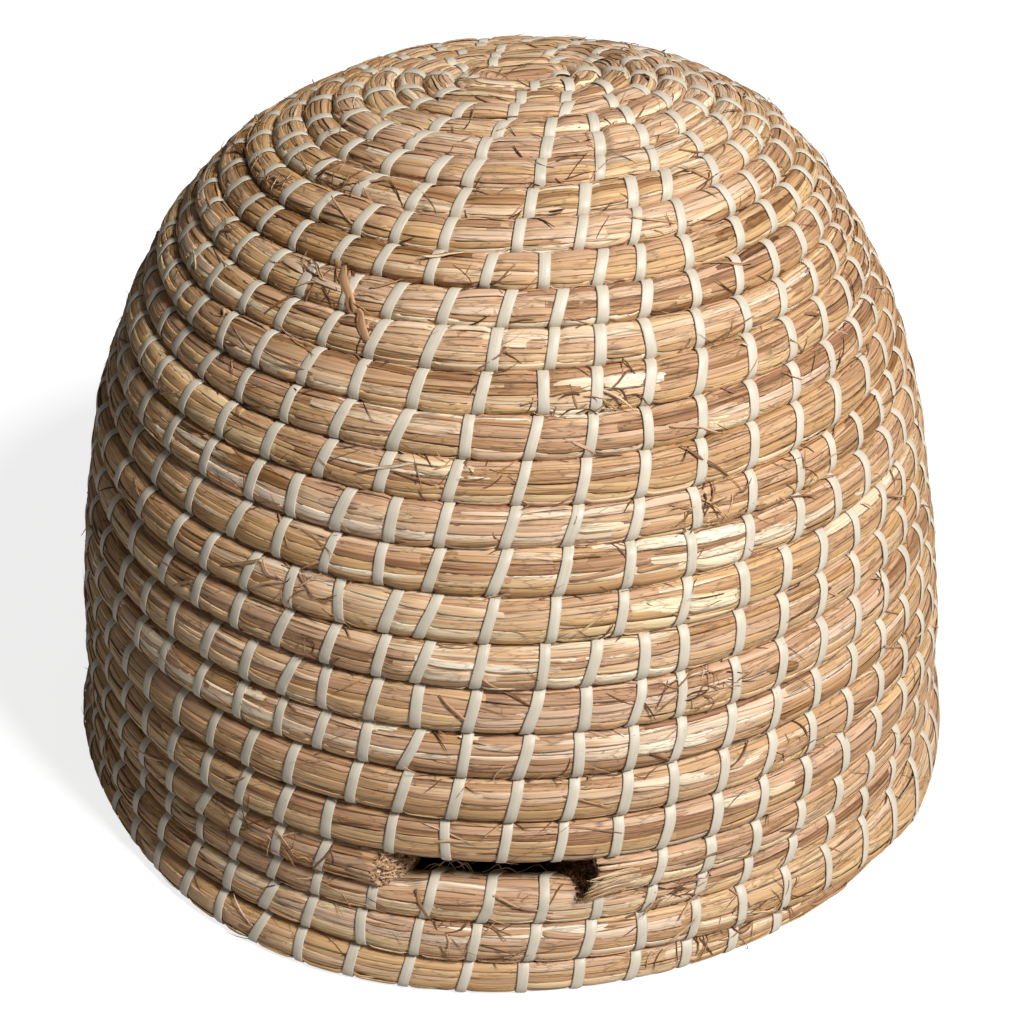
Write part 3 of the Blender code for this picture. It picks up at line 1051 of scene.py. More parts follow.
def base_straws(random, first, last, span, lanes, stations):
    """Straws side by side in lanes that together cover one side of a rope."""
    groups = []
    share = np.linspace(0, 1, stations)[None, :]
    for lane in range(lanes):
        starts, ends = lane_runs(random, first, last)
        turns = stations_along(starts, ends, stations, span[0] + (span[1] - span[0]) * (lane + 0.5) / lanes)
        low = lane_edge(turns, lane, lanes, span)
        high = lane_edge(turns, lane + 1, lanes, span)
        count = len(starts)
        wave = np.sin(share * math.tau * STRAW_WAVES + random.uniform(0, math.tau, (count, 1)))
        lift = random.uniform(*STRAW_LIFT, (count, 1)) * unevenness((low + high) / 2) + STRAW_WAVE_LIFT * wave
        lift = lift - STRAW_END_SINK * (1 - taper(share, STRAW_END, 0.0))
        half = (high - low) / 2 * LANE_FILL * taper(share, STRAW_END, STRAW_END_WIDTH)
        look = looks_of(random, (starts + ends) / 2, (low + high)[:, 0] / 2)
        groups.append(Straws(turns, (low + high) / 2, half, lift, look, own_numbers(random, count)))
    return joined(groups)


def loose_straws(random, first, last):
    """Straws that lie over the others and cross them at a small angle."""
    share = np.linspace(0, 1, LOOSE_STATIONS)[None, :]
    starts = scattered_turns(random, first, last, LOOSE_PER_METRE)
    count = len(starts)
    spans = random.uniform(*LOOSE_LENGTH, count) / length_of_turn(starts)
    ends = np.minimum(starts + spans, last)
    middle = random.uniform(*LOOSE_ANGLES, count)
    middle = np.where(random.uniform(0, 1, count) < STRAY_SHARE, STRAY_ANGLE, middle)
    turns = stations_along(starts, ends, LOOSE_STATIONS, middle[:, None])
    skew = random.normal(0, LOOSE_SKEW, (count, 1))
    bend = random.normal(0, LOOSE_BEND, (count, 1))
    angle = middle[:, None] + skew * (share - 0.5) + bend * np.sin(share * math.tau)
    width = random.uniform(*LOOSE_WIDTH, (count, 1))
    _, _, depth = rope_size(turns)
    half = width / depth * taper(share, LOOSE_TIP, LOOSE_TIP_WIDTH)
    lift = random.uniform(*LOOSE_LIFT, (count, 1)) - LOOSE_TIP_SINK * (1 - taper(share, STRAW_END, 0.0))
    return Straws(turns, angle, half, lift, looks_of(random, starts, middle), own_numbers(random, count))


def trimmed(straws):
    """The straws without those that are too short, and stopped at the slanting cuts of the entrance."""
    turns = straws.turns.copy()
    beside = np.abs(turns - UPPER_ROPE_END) < 0.5
    upper = straws.turns[:, -1:] > UPPER_ROPE_END
    cut = np.where(upper, cut_turns(UPPER_ROPE_END, straws.angle), cut_turns(LOWER_ROPE_TOP, straws.angle))
    turns = np.where(beside & upper, np.maximum(turns, cut), turns)
    turns = np.where(beside & ~upper, np.minimum(turns, cut), turns)
    straws.turns = turns
    return straws.chosen(turns[:, -1] - turns[:, 0] > SHORTEST_STRAW_TURNS)


def straw_points(straws, rounding):
    """Corners and grain of each straw: a flattened tube that follows the rope."""
    turns = straws.turns[:, :, None]
    _, _, depth = rope_size(turns)
    across = straws.half[:, :, None] * SECTION_ACROSS
    width = straws.half[:, :, None] * depth
    under, _ = stitch_press(turns, straws.angle[:, :, None] + across)
    rounded = rounding[:, None, None] * unevenness(straws.angle)[:, :, None]
    lift = straws.lift[:, :, None] + SECTION_ROUND * width * rounded
    lift = lift * (1 - FLATTENED * under) + SECTION_SIDE * STRAW_THICKNESS / 2
    points = on_rope(turns, straws.angle[:, :, None] + across, lift)
    metres = (straws.turns - straws.turns[:, :1]) * length_of_turn(straws.turns[:, :1])
    return points, stacked(metres[:, :, None], SECTION_ACROSS * width / 2, straws.number[:, None, None])


def make_straws(name, straws, material, node, random, rounding=STRAW_ROUNDING):
    points, grain = straw_points(straws, random.uniform(*rounding, len(straws)))
    look = straws.look[:, None, None, :]
    dress(make_tubes(name, points, look, grain, material), "straw", node)


def make_rope_straws(name, straws, first, last, rows, material, node, random):
    """The straws in pieces of so many rows each, so that no mesh grows too big."""
    pieces = max(1, round((last - first) / rows))
    marks = np.linspace(first, last, pieces + 1)
    marks[0] -= 1
    for number, (low, high) in enumerate(zip(marks, marks[1:]), start=1):
        starts = straws.turns[:, 0]
        group = straws.chosen((starts >= low) & (starts < high))
        make_straws(f"{name}_{number:02d}", group, material, node, random)


def make_ropes():
    material = straw_material("straw")
    ropes = (("lower", ROPE_END_TRIM, LOWER_ROPE_TOP), ("upper", UPPER_ROPE_END, TOP_TURNS))
    for number, (rope, first, last) in enumerate(ropes):
        random = np.random.default_rng(ROPE_SEED + number)
        node = f"straw_rope_{rope}"
        make_core(f"straw_core_{rope}", first, last, material, node)
        inner = trimmed(base_straws(random, first, last, INSIDE, INSIDE_LANES, INSIDE_STATIONS))
        outer = trimmed(base_straws(random, first, last, OUTSIDE, OUTSIDE_LANES, OUTSIDE_STATIONS))
        loose = trimmed(loose_straws(random, first, last))
        for name, straws, rows in (
            ("inside", inner, INSIDE_ROWS_IN_A_PIECE),
            ("outside", outer, OUTSIDE_ROWS_IN_A_PIECE),
            ("loose", loose, LOOSE_ROWS_IN_A_PIECE),
        ):
            make_rope_straws(f"straws_{name}_{rope}", straws, first, last, rows, material, node, random)
    make_bundle(material)


# A new bundle of straw that was fed in near the crown, and whose blunt end stands out

# Its start, end, roundness and raggedness are in turns. Its tone and its gold are a middle value and a spread
BUNDLE_LANES = 17
BUNDLE_STATIONS = 40
BUNDLE_GATHER = 1.5
BUNDLE_START = 21.112
BUNDLE_ROUNDNESS = 0.006
BUNDLE_RAGGED = 0.0012
BUNDLE_END = (21.02, 21.06)
BUNDLE_SPAN = (math.radians(20), math.radians(160))
BUNDLE_NARROWING = 0.35
BUNDLE_BLUNTNESS = 0.05
BUNDLE_FILL = 0.75
BUNDLE_TIP = 0.06
BUNDLE_TIP_WIDTH = 0.3
BUNDLE_RISE = 0.0020
BUNDLE_LIFT = 0.0002
BUNDLE_UNEVENNESS = 0.0003
BUNDLE_SINK = 0.0012
BUNDLE_TONE = (0.64, 0.08)
BUNDLE_GOLD = (0.3, 0.2)


def make_bundle(material):
    random = np.random.default_rng(BUNDLE_SEED)
    share = np.linspace(0, 1, BUNDLE_STATIONS)[None, :] ** BUNDLE_GATHER
    lane = np.linspace(-1, 1, BUNDLE_LANES)[:, None]
    ragged = random.uniform(0, BUNDLE_RAGGED, (BUNDLE_LANES, 1))
    blunt = BUNDLE_START - BUNDLE_ROUNDNESS * np.abs(lane) ** 3 - ragged
    fading = random.uniform(*BUNDLE_END, (BUNDLE_LANES, 1))
    turns = blunt + (fading - blunt) * share
    spread = 1 - BUNDLE_NARROWING * np.exp(-share / BUNDLE_BLUNTNESS)
    breadth = BUNDLE_SPAN[1] - BUNDLE_SPAN[0]
    angle = (BUNDLE_SPAN[0] + BUNDLE_SPAN[1]) / 2 + breadth / 2 * lane * spread
    half = breadth / BUNDLE_LANES * BUNDLE_FILL * spread * taper(share, BUNDLE_TIP, BUNDLE_TIP_WIDTH)
    rise = BUNDLE_RISE * (1 - np.exp(-share / BUNDLE_BLUNTNESS)) * (1 - share) + BUNDLE_LIFT
    sink = BUNDLE_SINK * np.exp(-(1 - share) / BUNDLE_BLUNTNESS)
    lift = rise + random.uniform(0, BUNDLE_UNEVENNESS, (BUNDLE_LANES, 1)) - sink
    tone = random.normal(*BUNDLE_TONE, BUNDLE_LANES)
    gold = random.normal(*BUNDLE_GOLD, BUNDLE_LANES)
    look = np.clip(stacked(tone, gold, 0.0), 0.0, 1.0)
    number = own_numbers(random, BUNDLE_LANES)
    straws = Straws(turns[:, ::-1], angle[:, ::-1], half[:, ::-1], lift[:, ::-1], look, number)
    make_straws("bundle_end", straws, material, "straw_rope_upper", random)


# Straws that close the rows above and below the entrance, where their hidden sides show

LIP_LANES = 5
LIP_STATIONS = 20
LIP_REACH = 0.05
LOWER_LIP = (math.radians(-75), math.radians(12))
UPPER_LIP = (math.radians(168), math.radians(235))


def make_lips():
    material = straw_material("straw_lips")
    lips = (("lower", -1, LOWER_LIP, "straw_rope_lower"), ("upper", 1, UPPER_LIP, "straw_rope_upper"))
    for number, (name, row, span, node) in enumerate(lips):
        random = np.random.default_rng(LIP_SEED + number)
        first = LOWER_ROPE_TOP + row - LIP_REACH
        last = UPPER_ROPE_END + row + LIP_REACH
        straws = base_straws(random, first, last, span, LIP_LANES, LIP_STATIONS)
        make_straws(f"straws_lip_{name}", straws, material, node, random)


# Cut ends of the rope at the entrance

# Chopped ends that are set in each face
STUBS = 240
STUB_LENGTH = 0.010
STUB_RAGGED = 0.0007
STUB_WIDTH = (0.0010, 0.0024)
STUB_FLATNESS = (0.25, 0.8)
STUB_STATIONS = 4
STUB_SIDES = 7
STUB_REACH = 0.96
STUB_GOLD = 0.2
SLIGHTLY_UP = np.array((0, 0, 1e-5))

# Chips of straw that lie on each face
CHIPS = 330
CHIP_LENGTH = (0.0012, 0.0042)
CHIP_WIDTH = (0.0004, 0.0012)
CHIP_FLATNESS = 0.5
CHIP_PROUD = (-0.0002, 0.0012)
CHIP_STATIONS = 5
CHIP_TIP = 0.2
CHIP_TIP_WIDTH = 0.3
CHIP_GOLD = 0.45


def on_cut(end, across, up, depth):
    """Points so deep in a cut end, and at shares of the rope's half width and half height from its middle."""
    away = 1.0 if end == UPPER_ROPE_END else -1.0
    share = np.minimum(np.hypot(across, up), 1.0)
    angle = np.arctan2(across, up)
    face = cut_turns(end, angle) * share + end * (1 - share)
    return on_rope(face + away * depth / length_of_turn(np.array(end)), angle, 0.0, share)


def make_stubs(side, end, node, tones, hollow, material):
    """The chopped ends that show on one slanting cut, each standing proud or lying deeper by a little."""
    random = np.random.default_rng(STUB_SEED + round(end * 1000))
    share = np.sqrt(random.uniform(0.0, 1.0, (STUBS, 1))) * STUB_REACH
    angle = random.uniform(0, math.tau, (STUBS, 1))
    along = np.linspace(STUB_LENGTH, 0, STUB_STATIONS)
    depth = random.normal(0, STUB_RAGGED, (STUBS, 1)) + hollow * (1 - share ** 2) + along
    paths = on_cut(end, share * np.sin(angle), share * np.cos(angle), depth)
    ups = paths - on_cut(end, 0 * angle, 0 * angle, depth) + SLIGHTLY_UP
    half = random.uniform(*STUB_WIDTH, (STUBS, 1)) / 2 + 0 * depth
    flatness = random.uniform(*STUB_FLATNESS, (STUBS, 1))
    make_strands(
        f"cut_stubs_{side}", node, material, random, paths, half, ups=ups, sides=STUB_SIDES, tones=tones,
        gold=STUB_GOLD, flatness=flatness, metres=along,
    )


def make_chips(side, end, node, tones, hollow, material):
    """Short bits of chopped straw that lie every way on one cut face."""
    random = np.random.default_rng(CHIP_SEED)
    share = np.sqrt(random.uniform(0.0, 1.0, (CHIPS, 1)))
    angle = random.uniform(0, math.tau, (CHIPS, 1))
    heading = random.uniform(0, math.tau, (CHIPS, 1))
    length = random.uniform(*CHIP_LENGTH, (CHIPS, 1))
    along = np.linspace(-0.5, 0.5, CHIP_STATIONS) * length
    across = share * np.sin(angle) + np.sin(heading) * along * 2 / WALL_ROPE_DEPTH
    up = share * np.cos(angle) + np.cos(heading) * along * 2 / WALL_ROW
    depth = hollow * (1 - share ** 2) - random.uniform(*CHIP_PROUD, (CHIPS, 1)) + 0 * along
    paths = on_cut(end, across, up, depth)
    ups = on_cut(end, across, up, depth - UP_STEP) - paths
    narrowed = taper(np.linspace(0, 1, CHIP_STATIONS), CHIP_TIP, CHIP_TIP_WIDTH)
    half = random.uniform(*CHIP_WIDTH, (CHIPS, 1)) / 2 * narrowed
    make_strands(
        f"cut_chips_{side}", node, material, random, paths, half, ups=ups, sides=THIN_SIDES, tones=tones,
        gold=CHIP_GOLD, flatness=CHIP_FLATNESS, metres=along,
    )


# Split tips round the right cut end. Their bend and their peel are each a middle value and a spread
FAN_STRAWS = 84
FAN_LENGTH = 0.015
FAN_REACH = (-0.0026, 0.0040)
FAN_ANGLE = (math.radians(62), math.radians(185))
FAN_BEND = (0.16, 0.14)
FAN_LIFT = 0.0006
FAN_PEEL = (0.0006, 0.0008)
FAN_HALF_WIDTH = (0.00025, 0.0008)
FAN_NARROWING = 0.8
FAN_TONES = (0.36, 0.84)
FAN_GOLD = 0.5
FAN_FLATNESS = 0.3
FAN_STATIONS = 8


def make_fan(node, material):
    """Split straw tips that stand out round the lower outer side of the right cut end."""
    random = np.random.default_rng(FAN_SEED)
    per_metre = 1 / float(length_of_turn(np.array(LOWER_ROPE_TOP)))
    angle = random.uniform(*FAN_ANGLE, (FAN_STRAWS, 1))
    share = np.linspace(0, 1, FAN_STATIONS)[None, :]
    tips = cut_turns(LOWER_ROPE_TOP, angle) + random.uniform(*FAN_REACH, (FAN_STRAWS, 1)) * per_metre
    starts = tips - FAN_LENGTH * per_metre
    turns = starts + (tips - starts) * share
    bent = angle + random.normal(*FAN_BEND, (FAN_STRAWS, 1)) * share ** 2
    lift = FAN_LIFT + np.abs(random.normal(*FAN_PEEL, (FAN_STRAWS, 1))) * share ** 2
    paths, ups = with_ups(turns, bent, lift)
    half = random.uniform(*FAN_HALF_WIDTH, (FAN_STRAWS, 1)) * (1 - FAN_NARROWING * share ** 3)
    make_strands(
        "cut_tips", node, material, random, paths, half, ups=ups, sides=THIN_SIDES, tones=FAN_TONES,
        gold=FAN_GOLD, flatness=FAN_FLATNESS, metres=FAN_LENGTH * share,
    )


# Fibres in the entrance, as azimuths of their two feet in degrees and how high they arch, from the row below
SLIT_FIBRES = (
    (-11.6, -8.4, 0.0030),
    (-10.4, -7.0, 0.0042),
    (-9.6, -6.0, 0.0060),
    (-8.4, -5.2, 0.0054),
    (-7.4, -4.9, 0.0040),
    (-3.8, -1.0, 0.0036),
    (-2.8, 0.6, 0.0026),
    (0.4, 4.6, 0.0040),
)
SLIT_FIBRE_ANGLE = math.radians(-22)
SLIT_FIBRE_LIFT = 0.0004
SLIT_FIBRE_PEAK = (0.3, 0.75)
SLIT_FIBRE_ROUNDNESS = 0.8
SLIT_FIBRE_WAVE = 0.12
SLIT_FIBRE_WAVES = 1.5
SLIT_FIBRE_HALF_WIDTH = (0.00020, 0.00042)
SLIT_FIBRE_LENGTH = 0.02
SLIT_FIBRE_TONES = (0.55, 0.8)
SLIT_FIBRE_GOLD = 0.5
SLIT_FIBRE_FLATNESS = 0.6


def make_slit_fibres(material):
    """Single fibres that stand up from the row below the entrance."""
    random = np.random.default_rng(SLIT_FIBRE_SEED)
    share = np.linspace(0, 1, FAN_STATIONS)[None, :]
    first, last, arch = (np.array(values)[:, None] for values in zip(*SLIT_FIBRES))
    azimuths = np.radians(first + (last - first) * share)
    turns = ROWS_BELOW_ENTRANCE - 1 + (ROPE_END_ANGLE - azimuths) / math.tau
    peak = random.uniform(*SLIT_FIBRE_PEAK, first.shape)
    bend = np.minimum(share / peak, (1 - share) / (1 - peak)) ** SLIT_FIBRE_ROUNDNESS
    phase = random.uniform(0, math.tau, first.shape)
    bend = bend + SLIT_FIBRE_WAVE * np.sin(share * math.tau * SLIT_FIBRE_WAVES + phase)
    paths, ups = with_ups(turns, SLIT_FIBRE_ANGLE + 0 * turns, SLIT_FIBRE_LIFT + arch * bend)
    half = random.uniform(*SLIT_FIBRE_HALF_WIDTH, first.shape) + 0 * turns
    make_strands(
        "slit_fibres", "straw_rope_lower", material, random, paths, half, ups=ups, sides=THIN_SIDES,
        tones=SLIT_FIBRE_TONES, gold=SLIT_FIBRE_GOLD, flatness=SLIT_FIBRE_FLATNESS,
        metres=SLIT_FIBRE_LENGTH * share,
    )


# For each cut end: its side, place, rope, how light its straw is, and how deep its face is hollowed
CUT_ENDS = (
    ("left", UPPER_ROPE_END, "straw_rope_upper", (0.38, 0.74), -0.0012),
    # The right end's straw is painted almost black: painted shade for its hollow face, which faces away from
    # the key light
    ("right", LOWER_ROPE_TOP, "straw_rope_lower", (0.0, 0.18), 0.007),
)


def make_cut_ends():
    material = straw_material("straw_cut")
    for cut_end in CUT_ENDS:
        make_stubs(*cut_end, material)
        make_chips(*cut_end, material)
    make_fan("straw_rope_lower", material)
    make_slit_fibres(material)


# The start of the rope, folded into the middle of the crown

KNOT_STRAWS = 30
KNOT_STATIONS = 9
KNOT_OVERRUN = 0.12
KNOT_SPREAD = 0.0036
KNOT_LIFT = (0.0004, 0.0034)
KNOT_DROP = 0.0040
KNOT_HALF_WIDTH = (0.0007, 0.0016)
KNOT_FLATNESS = 0.4
KNOT_TONES = (0.35, 0.7)
KNOT_GOLD = 0.4


def make_crown_knot():
    material = straw_material("straw_knot")
    random = np.random.default_rng(KNOT_SEED)
    left, right = place(np.full(2, CROWN), 0.0, np.array((-math.pi / 2, math.pi / 2)))
    share = np.linspace(-KNOT_OVERRUN, 1 + KNOT_OVERRUN, KNOT_STATIONS)
    paths = left + (right - left) * share[None, :, None] + np.zeros((KNOT_STRAWS, 1, 1))
    paths[..., 1] += random.uniform(-KNOT_SPREAD, KNOT_SPREAD, (KNOT_STRAWS, 1))
    paths[..., 2] += random.uniform(*KNOT_LIFT, (KNOT_STRAWS, 1)) - KNOT_DROP * (2 * share - 1) ** 4
    ups = np.broadcast_to((0.0, 0.0, 1.0), paths.shape)
    half = random.uniform(*KNOT_HALF_WIDTH, (KNOT_STRAWS, 1)) + 0 * share
    make_strands(
        "crown_knot", "straw_rope_upper", material, random, paths, half, ups=ups, sides=STUB_SIDES,
        tones=KNOT_TONES, gold=KNOT_GOLD, flatness=KNOT_FLATNESS, metres=share * (right - left)[0],
    )


# Cane binding

# Points in each stretch, how the strip's width varies, and the greatest of the canes' own numbers
MARK_POINTS = 400
CANE_WIDTH_WANDER = 0.10
CANE_WIDTH_SPACING = 0.03
CANE_GREATEST_NUMBER = 100

# Corners of the strip's section: across it, as shares of its width, and up, as shares of its thickness
CANE_SECTION_ACROSS = np.array([-1.0, -0.8, 0.0, 0.8, 1.0, 0.85, -0.85]) / 2
CANE_SECTION_UP = np.array([0.55, 0.92, 1.0, 0.92, 0.55, 0.0, 0.0])


def cane_marks():
    """Where the lengths of cane meet, in turns, from the crown down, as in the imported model."""
    stretches = (
        (TOP_TURNS - 1, UPPER_ROPE_END, CANES_ABOVE_ENTRANCE),
        (LOWER_ROPE_TOP, UPPER_ROPE_END - 1, CANES_BESIDE_ENTRANCE),
        (LOWER_ROPE_TOP - 1, CANE_END_TRIM, CANES_BELOW_ENTRANCE),
    )
    marks = []
    for first, last, count in stretches:
        turns = np.linspace(first, last, MARK_POINTS)
        radius, _ = on_wall(seam((turns[1:] + turns[:-1]) / 2))
        bound = running_total(math.tau * radius * -np.diff(turns))
        marks.extend(np.interp(bound[-1] * np.arange(1, count + 1) / count, bound, turns))
    return marks


def strip_round_rope(path, ups, width):
    """A flat strip along a path on the rope: its points for each place on the path and across its section."""
    along = unit(np.gradient(path, axis=0))
    up = unit(ups - along * np.sum(ups * along, axis=1, keepdims=True))
    side = np.cross(along, up)
    across = CANE_SECTION_ACROSS[None, :, None] * width[:, None, None]
    raised = CANE_SECTION_UP[None, :, None] * CANE_THICKNESS
    return path[:, None] + side[:, None] * across + up[:, None] * raised


def stitch_path(places, leans):
    """Turns and section angles of one cane's way through its stitches, up the outside and down the inside."""
    path_turns, path_angles = [], []
    outside = np.linspace(0, 1, STITCH_OUTER_STATIONS, endpoint=False)
    inside = np.linspace(0, 1, STITCH_INNER_STATIONS, endpoint=False)
    for index, (middle, lean) in enumerate(zip(places, leans)):
        path_angles.append(math.pi * (1 - outside))
        path_turns.append(middle + lean / 2 * np.cos(math.pi * outside))
        if index + 1 < len(places):
            top = middle - lean / 2
            foot = places[index + 1] + leans[index + 1] / 2
            path_angles.append(-math.pi * inside)
            path_turns.append(top + (foot - top) * inside)
    return np.concatenate(path_turns), np.concatenate(path_angles)


def make_cane(number, places, leans, material):
    random = np.random.default_rng(CANE_SEED + number)
    path, ups = with_ups(*stitch_path(places, leans), CANE_LIFT)
    stations = len(path)
    widening = wander(np.arange(stations) / stations, CANE_WIDTH_SPACING, CANE_WIDTH_SEED + number)
    points = strip_round_rope(path, ups, CANE_WIDTH * (1 + CANE_WIDTH_WANDER * widening))[None]
    metres = metres_along(path)[None, :, None]
    grain = stacked(metres, CANE_SECTION_ACROSS * CANE_WIDTH, random.uniform(0, CANE_GREATEST_NUMBER))
    piece = make_tubes(f"cane_{number:02d}", points, 0.0, grain, material)
    dress(piece, "cane", f"binding_cane_{number:02d}")


def make_canes():
    material = cane_material("cane")
    upper = TOP_TURNS
    for number, lower in enumerate(cane_marks(), start=1):
        here = (STITCHES <= upper) & (STITCHES > lower)
        make_cane(number, STITCHES[here], STITCH_LEANS[here], material)
        upper = lower


# Splinters and fibres that have come loose

# The scattered ones: how many there are to the metre of rope, and the share of them at a row's edges
PER_METRE = {"fibre": 30, "splinter": 36, "fray": 190}
AT_EDGE = {"fibre": 0.35, "splinter": 0.35, "fray": 1.0}

# For each kind: half the width, flatness, length, how it curls and peels off, how light it is, and stations
KINDS = {
    "fibre": {
        "half": (0.00014, 0.00026), "flat": 0.6, "length": (0.006, 0.024), "curl": 0.35, "peel": 0.0010,
        "tone": (0.06, 0.46), "stations": 9,
    },
    "splinter": {
        "half": (0.00030, 0.00100), "flat": 0.2, "length": (0.006, 0.026), "curl": 0.16, "peel": 0.0015,
        "tone": (0.14, 0.74), "stations": 9,
    },
    "fray": {
        "half": (0.00018, 0.00050), "flat": 0.3, "length": (0.003, 0.013), "curl": 0.34, "peel": 0.0009,
        "tone": (0.04, 0.50), "stations": 6,
    },
    "tangle": {
        "half": (0.00018, 0.00062), "flat": 0.35, "length": (0.004, 0.015), "curl": 0.60, "peel": 0.0018,
        "tone": (0.08, 0.56), "stations": 9,
    },
}

# What the kinds share: how much of the curl swings back, the lift, how much narrower the tip and the root
# are, how golden they are, and how near to a row's sides they come
LOOSE_END_SWING = 0.3
LOOSE_END_LIFT = (0.0004, 0.0009)
LOOSE_END_NARROWING = 0.75
LOOSE_END_ROOT_NARROWING = 0.5
LOOSE_END_GOLD = (0, 0.7)
LEAST_ANGLE = 0.12

# Where the scattered ones start: a middle and a spread for each edge, the share at the lower one, the angles
# between the edges, and how far their headings spread
LOWER_EDGE = (2.62, 0.16)
UPPER_EDGE = (0.5, 0.16)
LOWER_EDGE_SHARE = 0.65
BETWEEN_EDGES = (0.5, 2.6)
HEADING_SPREAD = 0.42

# How many turns stay free of them at the ends of the two ropes
FREE_OF_ROPE_END = 0.2
FREE_OF_CUT = 0.012
FREE_OF_CROWN = 0.5

# How far a tangle spreads along the rope, as a share of its own spread, how far round it, and its headings
TANGLE_LENGTHENING = 0.75
TANGLE_BREADTH = 0.33
TANGLE_HEADING = 0.85

# Tangles, as height up the wall, azimuth, how many fibres, and how far they spread
TANGLES = (
    (0.280, math.radians(-31.8), 30, 0.012),
    (0.146, math.radians(-25.7), 34, 0.011),
    (0.196, math.radians(25.6), 34, 0.006),
    (0.206, math.radians(25.0), 16, 0.008),
    (0.133, math.radians(24.0), 30, 0.009),
    (0.041, math.radians(19.3), 36, 0.009),
    (0.172, math.radians(-26.3), 22, 0.012),
    (0.246, math.radians(12.4), 26, 0.016),
    (0.103, math.radians(5.4), 22, 0.018),
    (0.304, math.radians(-62.2), 26, 0.010),
    (0.317, math.radians(-45.5), 26, 0.010),
    (0.012, math.radians(24.0), 40, 0.016),
    (0.018, math.radians(30.8), 26, 0.014),
    (0.030, math.radians(-6.3), 24, 0.014),
    (0.055, math.radians(-28.0), 24, 0.014),
    (0.200, math.radians(40.0), 24, 0.014),
    (0.225, math.radians(-8.0), 20, 0.014),
    (0.090, math.radians(34.0), 24, 0.014),
)

# Straws that stand out on a row: height and azimuth in degrees of both ends, width, and how light, golden and
# glossy each is. Their gloss also paints in a pale colour, partly a painted highlight
ROW_STRAWS = (
    (0.172, 14.0, 0.167, 29.8, 0.0072, 0.94, 1.0, 0.5),
    (0.166, 15.2, 0.162, 28.9, 0.0046, 0.86, 1.0, 0.4),
    (0.133, 30.5, 0.129, 37.5, 0.0050, 0.20, 0.6, 0.0),
    (0.195, 9.0, 0.190, 33.0, 0.0048, 0.78, 0.4, 0.9),
    (0.189, 16.0, 0.186, 24.0, 0.0034, 0.84, 0.4, 1.0),
    (0.252, 5.5, 0.250, 24.0, 0.0048, 0.78, 0.4, 0.9),
    (0.244, 3.0, 0.243, 17.0, 0.0042, 0.86, 0.4, 1.0),
    (0.213, 5.0, 0.212, 27.0, 0.0048, 0.78, 0.5, 0.9),
    (0.147, 2.0, 0.145, 21.0, 0.0046, 0.76, 0.5, 0.9),
    (0.150, -14.0, 0.149, 1.0, 0.0046, 0.74, 0.4, 0.9),
    (0.097, 12.0, 0.093, 32.0, 0.0048, 0.78, 0.4, 0.9),
    (0.114, 12.0, 0.111, 25.0, 0.0040, 0.84, 0.4, 1.0),
    (0.232, 27.0, 0.228, 39.0, 0.0056, 0.80, 1.0, 0.3),
    (0.204, 6.0, 0.203, 15.0, 0.0036, 0.86, 0.5, 0.9),
    (0.185, 19.0, 0.181, 34.0, 0.0044, 0.84, 0.7, 0.8),
    (0.040, 12.0, 0.036, 24.0, 0.0040, 0.84, 0.4, 1.0),
    (0.022, 20.0, 0.019, 30.0, 0.0034, 0.80, 0.6, 0.8),
    (0.268, -6.0, 0.266, 4.0, 0.0038, 0.82, 0.4, 0.9),
    (0.226, -16.0, 0.225, -6.0, 0.0034, 0.78, 0.5, 0.8),
    (0.123, 20.0, 0.120, 31.0, 0.0044, 0.86, 0.5, 0.9),
    (0.078, 24.0, 0.074, 36.0, 0.0044, 0.86, 0.6, 0.9),
)
ROW_STRAW_STATIONS = 40
ROW_STRAW_LIFT = 0.0006
ROW_STRAW_ROUNDING = (0.02, 0.04)
ROW_STRAW_TIP = 0.09
ROW_STRAW_TIP_WIDTH = 0.1
ROW_STRAW_END = 0.06
ROW_STRAW_END_SINK = 0.0014

# Straws that lie across rows: height and azimuth in degrees of both ends, width, how light and how golden
CROSSING_STRAWS = (
    (0.291, -33.4, 0.263, -21.8, 0.0048, 0.44, 0.35),
    # The second is a dark strip along the broad first one: a painted shadow of that blade, not a straw
    (0.286, -30.0, 0.268, -24.5, 0.0016, 0.22, 0.3),
    (0.047, -11.5, 0.032, -9.3, 0.0017, 0.38, 0.2),
    (0.062, -21.0, 0.047, -24.5, 0.0012, 0.30, 0.2),
    (0.146, 32.0, 0.141, 26.0, 0.0013, 0.42, 0.4),
)
CROSSING_STATIONS = 30
CROSSING_SIDES = 8
CROSSING_THICKNESS = 0.0004
CROSSING_LIFT = 0.0010
CROSSING_ANGLES = (0.7, 2.44)
CROSSING_TIP = 0.08
CROSSING_TIP_WIDTH = 0.2
CROSSING_UPS = np.array((1.0, 1.0, 0.2))
ROW_LIMIT = 0.98


def rope_at(turns):
    return "lower" if turns < LOWER_ROPE_TOP else "upper"


def turns_at(height, azimuth):
    """Turns and section angle of the place on the rope's outside so far up the wall and so far round."""
    first = (ROPE_END_ANGLE - azimuth) / math.tau
    rows = first + np.arange(math.floor(TOP_TURNS - first))
    row = rows[np.searchsorted(seam(rows), height)]
    low, high, _ = rope_size(row)
    up = np.clip((height - (low + high) / 2) / ((high - low) / 2), -ROW_LIMIT, ROW_LIMIT)
    return float(row), float(np.arccos(up))


def headings(random, spread, count):
    """Directions that lie along the rope, either way, but for a random angle."""
    return random.normal(0, spread, count) + math.pi * (random.uniform(0, 1, count) < 0.5)


